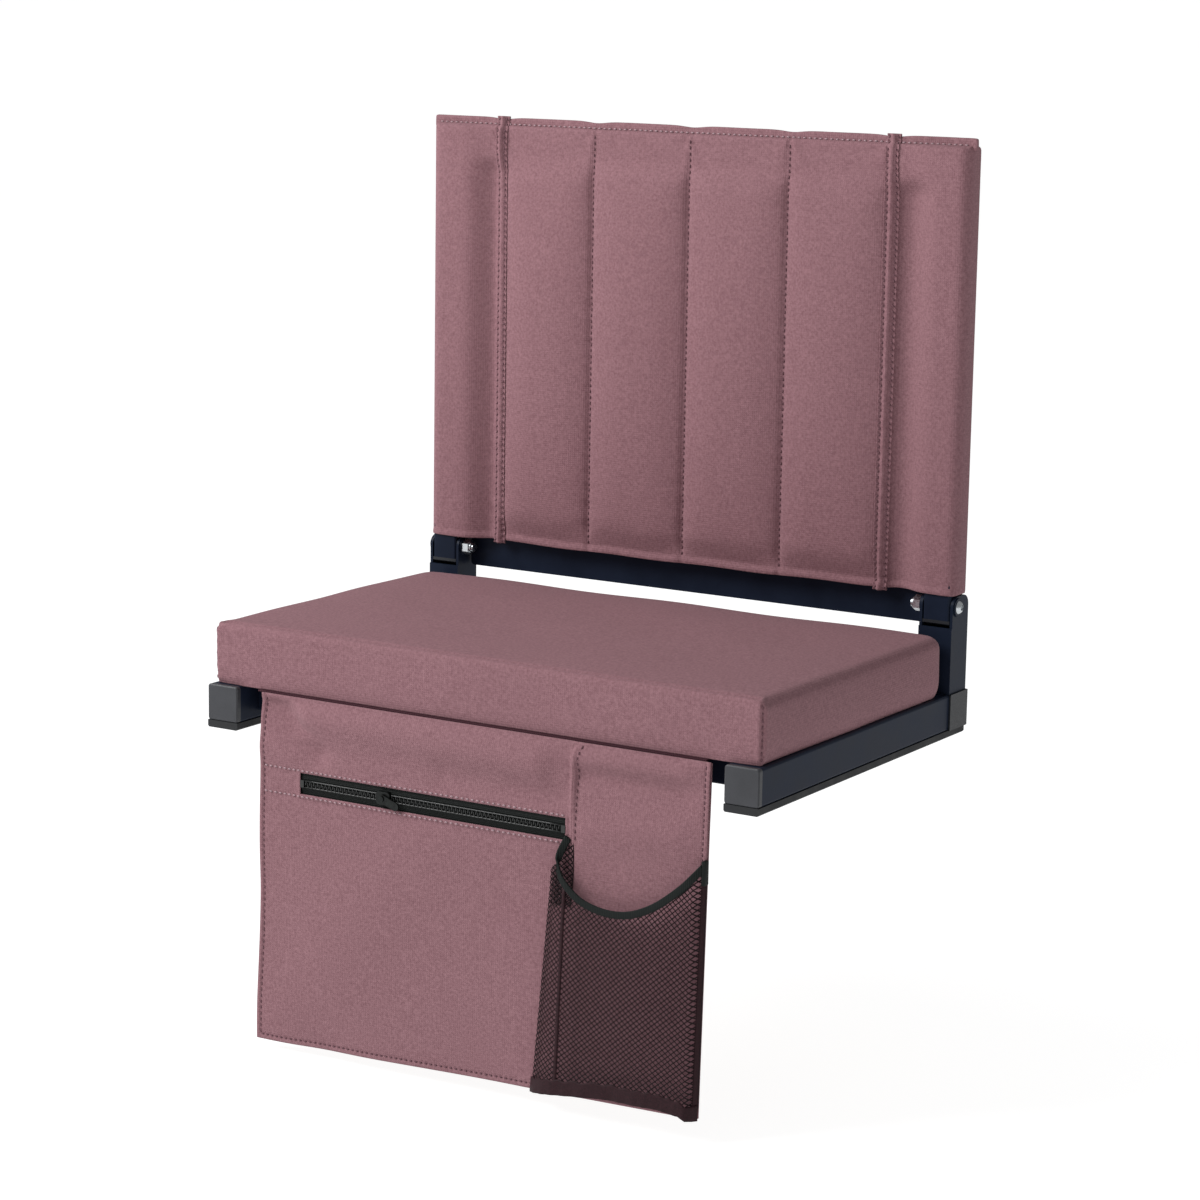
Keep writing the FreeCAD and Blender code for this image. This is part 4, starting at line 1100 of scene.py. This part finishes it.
def build_zip(settings):
    low, high = Vector((TAPE_LOW.x - TAPE_UNDER, TAPE_LOW.y, TAPE_LOW.z)), TAPE_HIGH
    cuts = [spread(low.x, high.x, 6 * MM), [], spread(low.z, high.z, 1.2 * MM)]
    tape = make_piece(
        "zip_tape", gridded_box(low, high, cuts), "woven zip tape", "organiser", ("zip_tapes",)
    )
    points = coordinates(tape.data)
    away = np.abs(points[:, 2] - ZIP_MIDDLE)
    points[:, 1] -= 0.5 * MM * bump(away, 3.2 * MM, 1.2 * MM) * (points[:, 1] < low.y + 0.1 * MM)
    set_coordinates(tape.data, points)
    bm = bmesh.new()
    pitch = settings.sewing.tooth_pitch
    front = COIL_LOW.y + 0.55 * MM
    for k in range(1, int((COIL_HIGH.x - COIL_LOW.x) / pitch)):
        side = 1 if k % 2 else -1
        place = Matrix.Translation((COIL_LOW.x + k * pitch, front, ZIP_MIDDLE + side * TOOTH_OFF))
        lean = Matrix.Rotation(side * TOOTH_LEAN, 4, "Y")
        bmesh.ops.create_icosphere(bm, subdivisions=2, radius=1.0, matrix=place @ lean @ TOOTH_SIZE)
    for side in (-1, 1):
        level = ZIP_MIDDLE + side * CORD_LEVEL
        cord_low = Vector((COIL_LOW.x, front - 0.1 * MM, level - CORD_HALF))
        cord_high = Vector((COIL_HIGH.x, front + 0.6 * MM, level + CORD_HALF))
        join(bm, gridded_box(cord_low, cord_high, [spread(cord_low.x, cord_high.x, 10 * MM), [], []]))
    make_piece("zip_teeth", bm, "zip coil nylon", "organiser", ("zip_coil",))


# Net pocket

# Where the pleat's edge and the pocket's front fold lie, at the floor and at the mouth's corner.
PLEAT_EDGE = (50 * MM, 63 * MM)
FRONT_FOLD = (73 * MM, 79 * MM)
MOUTH_CORNER = -60 * MM
NET_TOP = -36 * MM
NET_RIGHT = 176 * MM
NET_FRONT = NET_LOW.y + 0.4 * MM
NET_BACK = FACING_LOW.y - 0.7 * MM
PLEAT_INNER = 17 * MM
HEM_HEIGHT = 10.5 * MM
NET_REACH, NET_SQUASH, NET_PLACE = 0.29, 0.86, (0.06, 0, -0.12)
# Height of the pocket's lower edge over the organiser's, from left to right, in mm.
NET_FLOOR = [(50, -1.5), (70, 1.5), (110, 5.5), (150, 5.5), (168, 3), (174, -0.5)]
# The binding's route from the zip's end round the pocket's mouth to the right edge, and the tab there.
MOUTH_ROUTE = [
    mm(76.5, -144.6, -34), mm(70.5, -146.4, -45), mm(71.5, -149.6, -55), mm(79, -152.6, -64),
    mm(94, -153.1, -74.5), mm(120, -153.2, -78), mm(143, -153.1, -70), mm(164, -152.8, -54),
    mm(174, -151.6, -43.5), mm(178.8, -148, -37),
]
END_TAB = mm(177.4, -149.4, -49), mm(180.4, -144, -33)


def net_edges(height):
    """Where the pleat's edge and the front fold lie at a height, and how wide the pleat is."""
    share = np.clip((height - PANEL_LOW.z) / (MOUTH_CORNER - PANEL_LOW.z), 0, 1)
    edge = PLEAT_EDGE[0] + (PLEAT_EDGE[1] - PLEAT_EDGE[0]) * share
    fold = FRONT_FOLD[0] + (FRONT_FOLD[1] - FRONT_FOLD[0]) * share
    return edge, fold, np.hypot(fold - edge, NET_BACK - NET_FRONT)


def wrap_net(mesh):
    """Wraps a flat net round the pleat, whose edge is at x = 0, and over the pocket's front."""
    points = coordinates(mesh)
    run, depth, height = points.T.copy()
    edge, fold, pleat = net_edges(height)
    turn = np.clip(run / pleat, 0, 1)
    across = np.clip((run - pleat) / (net_width() - pleat), 0, 1)
    right = net_right(height)
    over = np.where(run < pleat, edge + (fold - edge) * turn, fold + (right - fold) * across)
    x = np.where(run < 0, edge - run, over)
    y = NET_BACK + (NET_FRONT - NET_BACK) * np.sin(turn * math.pi / 2) ** 0.8
    up = np.clip((height - PANEL_LOW.z) / (NET_TOP - PANEL_LOW.z), 0, 1)
    belly = np.sin(across * math.pi) * np.sin(np.clip(up * 1.1, 0, 1) * math.pi)
    wrinkle = wave(x, 0.043, height * 30) * (1 - up) ** 2 * np.sin(across * math.pi)
    y -= (2.6 * belly + 0.7 * wrinkle) * MM
    y += (NET_BACK - NET_FRONT) * smooth_step(x, right - 6 * MM, right)
    points[:, 0], points[:, 1] = x, y + depth
    points[:, 2] += tilt(x) * (1 - up) ** 2
    set_coordinates(mesh, points)


def net_width():
    """Width of the flat net from the pleat's edge to the right side, at the floor."""
    _, fold, pleat = net_edges(PANEL_LOW.z)
    return pleat + NET_RIGHT - fold


def net_right(height):
    """Where the net's right side lies at a height: it follows the organiser's edge."""
    return NET_RIGHT + EDGE_FLARE * np.clip((height - PANEL_LOW.z) / (PANEL_HIGH.z - PANEL_LOW.z), 0, 1)


def mouth_heights(run):
    """Height of the net's mouth over the flat net, from the binding's route."""
    mesh = curve_mesh([MOUTH_ROUTE])
    line = coordinates(mesh)
    bpy.data.meshes.remove(mesh)
    turn = line[:, 0].argmin()
    corner = (PLEAT_EDGE[1], 0, MOUTH_CORNER)
    outer, inner = np.vstack([corner, line[turn:]]), np.vstack([line[:turn], corner])[::-1]
    _, fold, pleat = net_edges(MOUTH_CORNER)
    across = (run - pleat) / (net_width() - pleat)
    front = np.interp(fold + (net_right(MOUTH_CORNER) - fold) * across, outer[:, 0], outer[:, 2])
    return np.where(run < 0, np.interp(PLEAT_EDGE[1] - run, inner[:, 0], inner[:, 2]), front)


def build_net(settings):
    sewing = settings.sewing
    bm = bmesh.new()
    count = round(NET_REACH / sewing.net_cell)
    bmesh.ops.create_grid(bm, x_segments=count, y_segments=count, size=count * sewing.net_cell / 2)
    bmesh.ops.rotate(bm, matrix=Matrix.Rotation(math.radians(45), 3, "Z"), verts=bm.verts)
    bmesh.ops.scale(bm, vec=(1.0, NET_SQUASH, 1.0), verts=bm.verts)
    bmesh.ops.rotate(bm, matrix=Matrix.Rotation(math.pi / 2, 3, "X"), verts=bm.verts)
    bmesh.ops.translate(bm, vec=NET_PLACE, verts=bm.verts)
    floor = PANEL_LOW.z + 8 * MM
    for place, normal in (
        (Vector((-PLEAT_INNER, 0, 0)), Vector((-1, 0, 0))),
        (Vector((net_width(), 0, 0)), Vector((1, 0, 0))),
        (Vector((0, 0, floor)), Vector((0, 0, -1))), (Vector((0, 0, NET_TOP)), Vector((0, 0, 1))),
    ):
        geometry = bm.verts[:] + bm.edges[:] + bm.faces[:]
        bmesh.ops.bisect_plane(bm, geom=geometry, plane_co=place, plane_no=normal, clear_outer=True)
    middles = [face.calc_center_median() for face in bm.faces]
    heights = mouth_heights(np.array([middle.x for middle in middles]))
    # The pleat's inner layer is made only where the mouth lets it be seen.
    spare = [
        face for face, middle, height in zip(bm.faces, middles, heights)
        if middle.z > height or (middle.x < 0 and middle.z < MOUTH_CORNER - 20 * MM)
    ]
    bmesh.ops.delete(bm, geom=spare, context="FACES")
    bmesh.ops.wireframe(
        bm, faces=bm.faces[:], thickness=sewing.net_yarn, use_replace=True, use_boundary=True,
        use_even_offset=True,
    )
    net = make_piece(
        "net_pocket", bm, "warp-knitted net yarn", "organiser",
        ("mesh_front", "mesh_left_gusset", "mesh_right_gusset", "mesh_floor"),
    )
    wrap_net(net.data)
    build_net_hem()
    build_binding()


def build_net_hem():
    """The net's doubled edges: the gathered hem at the bottom, the right edge and the front fold."""
    width = net_width()
    floor_x, floor_z = np.array(NET_FLOOR).T * MM
    hem_high = Vector((width, 0, HEM_HEIGHT))
    bm = gridded_sheet(Vector(), hem_high, [spread(0, width, 2.5 * MM), [], spread(0, HEM_HEIGHT, 1.5 * MM)])
    for vertex in bm.verts:
        x, _, z = vertex.co
        gather = wave(x, 10 * MM, 4 * math.sin(x * 60))
        lift = z / HEM_HEIGHT
        floor = PANEL_LOW.z + np.interp(x + PLEAT_EDGE[0], floor_x, floor_z)
        vertex.co.z += floor + 0.9 * MM * gather * lift
        vertex.co.y = -0.9 * MM + 0.35 * MM * gather * (1 - lift)
    for start, end, top in ((width - 2.4 * MM, width, -47 * MM), (-1.2 * MM, 1.2 * MM, -66 * MM)):
        low, high = Vector((start, -0.8 * MM, PANEL_LOW.z + 9 * MM)), Vector((end, -0.8 * MM, top))
        band = gridded_sheet(low, high, [spread(start, end, 1.2 * MM), [], spread(low.z, top, 4 * MM)])
        if start < 0:
            for vertex in band.verts:
                vertex.co.x += net_edges(vertex.co.z)[2]
        join(bm, band)
    piece = make_piece("net_hem", bm, "doubled net", "organiser")
    wrap_net(piece.data)
    thicken(piece, 0.9 * MM)


def build_binding():
    """Bias binding sewn over the net's mouth: a folded tape with rounded edges and an end tab."""
    mesh = curve_mesh(
        [MOUTH_ROUTE], twist_mode="Z_UP", extrude=1.6 * MM, bevel_depth=0.9 * MM, bevel_resolution=3,
        use_fill_caps=True, resolution_u=10,
    )
    bm = bmesh.new()
    bm.from_mesh(mesh)
    bpy.data.meshes.remove(mesh)
    bmesh.ops.remove_doubles(bm, verts=bm.verts, dist=1e-6)
    bmesh.ops.recalc_face_normals(bm, faces=bm.faces)
    tab = gridded_box(*END_TAB, [[], [], []])
    bmesh.ops.bevel(
        tab, geom=tab.edges[:], offset=0.8 * MM, affect="EDGES", segments=2, profile=0.5, material=-1
    )
    join(bm, tab)
    make_piece("net_binding", bm, "bias binding", "organiser", ("mesh_binding",))


# Operators

CAD_FINISHES = {
    "powder-coated steel": [
        "left_rail", "right_rail", "left_hinge_post", "right_hinge_post", "front_cross_tube",
        "rear_cross_tube", "left_back_leg", "right_back_leg", "back_top_tube", "back_cross_bar",
        "pivot_washers",
    ],
    "grey polypropylene": ["left_rail_cap", "right_rail_cap"],
    "black polypropylene": [
        "left_rear_boot", "right_rear_boot", "top_tube_plugs", "left_heel_plug", "right_heel_plug",
    ],
    "extruded rubber": ["left_foot_strip", "right_foot_strip"],
    "birch plywood": ["seat_board"],
    "zinc-plated steel": [
        "board_screws", "cover_staples", "left_pivot_bolt", "right_pivot_bolt", "left_pivot_nut",
        "right_pivot_nut",
    ],
    "hinge bush nylon": ["left_hinge_bush", "right_hinge_bush"],
    "header tape": ["organiser_header"],
    "zip coil nylon": ["zip_stops"],
    "lacquered zinc casting": ["zip_slider", "zip_pull"],
}


class STADIUM_OT_finishes(bpy.types.Operator):
    """Makes the materials and gives the frame's own parts their finish"""

    bl_idname = "stadium.finishes"
    bl_label = "Finishes"

    def execute(self, context):
        colours = context.scene.stadium_seat.colours
        for make in (
            woven_polyester, powder_coated_steel, extruded_rubber, zinc_plated_steel, birch_plywood,
            lacquered_zinc, matt_floor,
        ):
            make(colours)
        knitted_net("warp-knitted net yarn", colours.net)
        knitted_net("doubled net", colours.net_hem)
        moulded_polypropylene("grey polypropylene", colours.caps)
        moulded_polypropylene("black polypropylene", colours.boots)
        sewing_thread("seam thread", colours.thread)
        sewing_thread("hem thread", colours.thread_light)
        ribbed_tape("header tape", colours.header, "X", 1.4)
        ribbed_tape("woven zip tape", colours.tape, "Z", 1.1)
        ribbed_tape("bias binding", colours.binding, "X", 1.3)
        drawn_nylon("hinge bush nylon", colours.nylon, 0.4)
        drawn_nylon("zip coil nylon", colours.tape, 0.35)
        for name, nodes in CAD_FINISHES.items():
            for node in nodes:
                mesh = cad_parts[node].data
                mesh.materials.clear()
                mesh.materials.append(finish(name))
        return {"FINISHED"}


class STADIUM_OT_cushion(bpy.types.Operator):
    """Builds the padded seat cushion with its seams"""

    bl_idname = "stadium.cushion"
    bl_label = "Seat cushion"

    def execute(self, context):
        build_cushion(context.scene.stadium_seat)
        return {"FINISHED"}


class STADIUM_OT_back(bpy.types.Operator):
    """Builds the channelled back cover with its hems and felled seams"""

    bl_idname = "stadium.back"
    bl_label = "Back cover"

    def execute(self, context):
        build_back(context.scene.stadium_seat)
        return {"FINISHED"}


class STADIUM_OT_organiser(bpy.types.Operator):
    """Hangs the organiser's cloth and sews it"""

    bl_idname = "stadium.organiser"
    bl_label = "Organiser"

    def execute(self, context):
        build_organiser(context.scene.stadium_seat)
        return {"FINISHED"}


class STADIUM_OT_zip(bpy.types.Operator):
    """Builds the zip's tape and coil"""

    bl_idname = "stadium.zip"
    bl_label = "Zip"

    def execute(self, context):
        build_zip(context.scene.stadium_seat)
        return {"FINISHED"}


class STADIUM_OT_net(bpy.types.Operator):
    """Builds the net pocket, its hems and its binding"""

    bl_idname = "stadium.net"
    bl_label = "Net pocket"

    def execute(self, context):
        build_net(context.scene.stadium_seat)
        return {"FINISHED"}


class STADIUM_OT_stage(bpy.types.Operator):
    """Sets the floor, the light and the camera"""

    bl_idname = "stadium.stage"
    bl_label = "Stage"

    def execute(self, context):
        build_stage(context.scene.stadium_seat)
        return {"FINISHED"}


FLOOR_REACH = 150.0
KEY_AIM = Vector((0, 0, 0.1))


def build_stage(settings):
    scene = bpy.context.scene
    stage = settings.stage
    bm = bmesh.new()
    bmesh.ops.create_grid(bm, x_segments=2, y_segments=2, size=FLOOR_REACH)
    bmesh.ops.translate(bm, vec=(0, 0, CAD_BOX[0].z - stage.floor_drop), verts=bm.verts)
    mesh = bpy.data.meshes.new("floor")
    bm.to_mesh(mesh)
    bm.free()
    floor = bpy.data.objects.new("floor", mesh)
    mesh.materials.append(finish("matt paper floor"))
    scene.collection.objects.link(floor)

    key = bpy.data.objects.new("softbox", bpy.data.lights.new("softbox", "AREA"))
    key.data.energy = stage.key
    key.data.size = stage.key_size
    key.location = stage.key_place
    key.rotation_euler = (Vector(stage.key_place) - KEY_AIM).to_track_quat("Z", "Y").to_euler()
    key.visible_camera = False
    scene.collection.objects.link(key)

    world = bpy.data.worlds.new("studio")
    world.use_nodes = True
    tree = world.node_tree
    tree.nodes.clear()
    # The backdrop behind the floor shows white, and lights the seat less than that.
    seen = add_node(tree, "ShaderNodeLightPath").outputs["Is Camera Ray"]
    room = add_node(tree, "ShaderNodeBackground", inputs={"Color": (1, 1, 1, 1), "Strength": stage.room})
    white = add_node(tree, "ShaderNodeBackground", inputs={"Color": (1, 1, 1, 1), "Strength": 1.0})
    both = add_node(
        tree, "ShaderNodeMixShader", inputs={0: seen, 1: room.outputs[0], 2: white.outputs[0]}
    )
    add_node(tree, "ShaderNodeOutputWorld", inputs={"Surface": both.outputs[0]})
    scene.world = world
    scene.view_settings.view_transform = "Standard"

    yaw, pitch, roll = stage.turn
    forward = Vector((-math.sin(yaw) * math.cos(pitch), math.cos(yaw) * math.cos(pitch), math.sin(pitch)))
    level = Vector((math.cos(yaw), math.sin(yaw), 0))
    upright = level.cross(forward)
    right = math.cos(roll) * level + math.sin(roll) * upright
    up = math.cos(roll) * upright - math.sin(roll) * level
    camera = bpy.data.objects.new("camera", bpy.data.cameras.new("camera"))
    camera.data.lens = stage.lens
    camera.data.sensor_width = 36
    camera.data.clip_end = 500
    camera.matrix_world = Matrix.Translation(stage.eye) @ Matrix((right, up, -forward)).transposed().to_4x4()
    scene.collection.objects.link(camera)
    scene.camera = camera


class STADIUM_PT_panel(bpy.types.Panel):
    """Lists the seat's sizes, colours and pieces"""

    bl_idname = "STADIUM_PT_panel"
    bl_label = "Stadium seat"
    bl_space_type = "VIEW_3D"
    bl_region_type = "UI"
    bl_category = "Stadium seat"

    def draw(self, context):
        settings = context.scene.stadium_seat
        for group in (settings.colours, settings.padding, settings.sewing, settings.stage):
            box = self.layout.box()
            for name in group.__annotations__:
                box.prop(group, name)
        for operator in OPERATORS:
            self.layout.operator(operator.bl_idname)


OPERATORS = [
    STADIUM_OT_finishes, STADIUM_OT_cushion, STADIUM_OT_back, STADIUM_OT_organiser, STADIUM_OT_zip,
    STADIUM_OT_net, STADIUM_OT_stage,
]
CLASSES = [SeatColours, SeatPadding, SeatSewing, SeatStage, StadiumSeat] + OPERATORS + [STADIUM_PT_panel]


def register():
    for item in CLASSES:
        bpy.utils.register_class(item)
    bpy.types.Scene.stadium_seat = bpy.props.PointerProperty(type=StadiumSeat)


def unregister():
    del bpy.types.Scene.stadium_seat
    for item in reversed(CLASSES):
        bpy.utils.unregister_class(item)


def main():
    register()
    bpy.ops.stadium.finishes()
    bpy.ops.stadium.cushion()
    bpy.ops.stadium.back()
    bpy.ops.stadium.organiser()
    bpy.ops.stadium.zip()
    bpy.ops.stadium.net()
    bpy.ops.stadium.stage()
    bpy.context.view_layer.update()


if __name__ == "__main__":
    main()
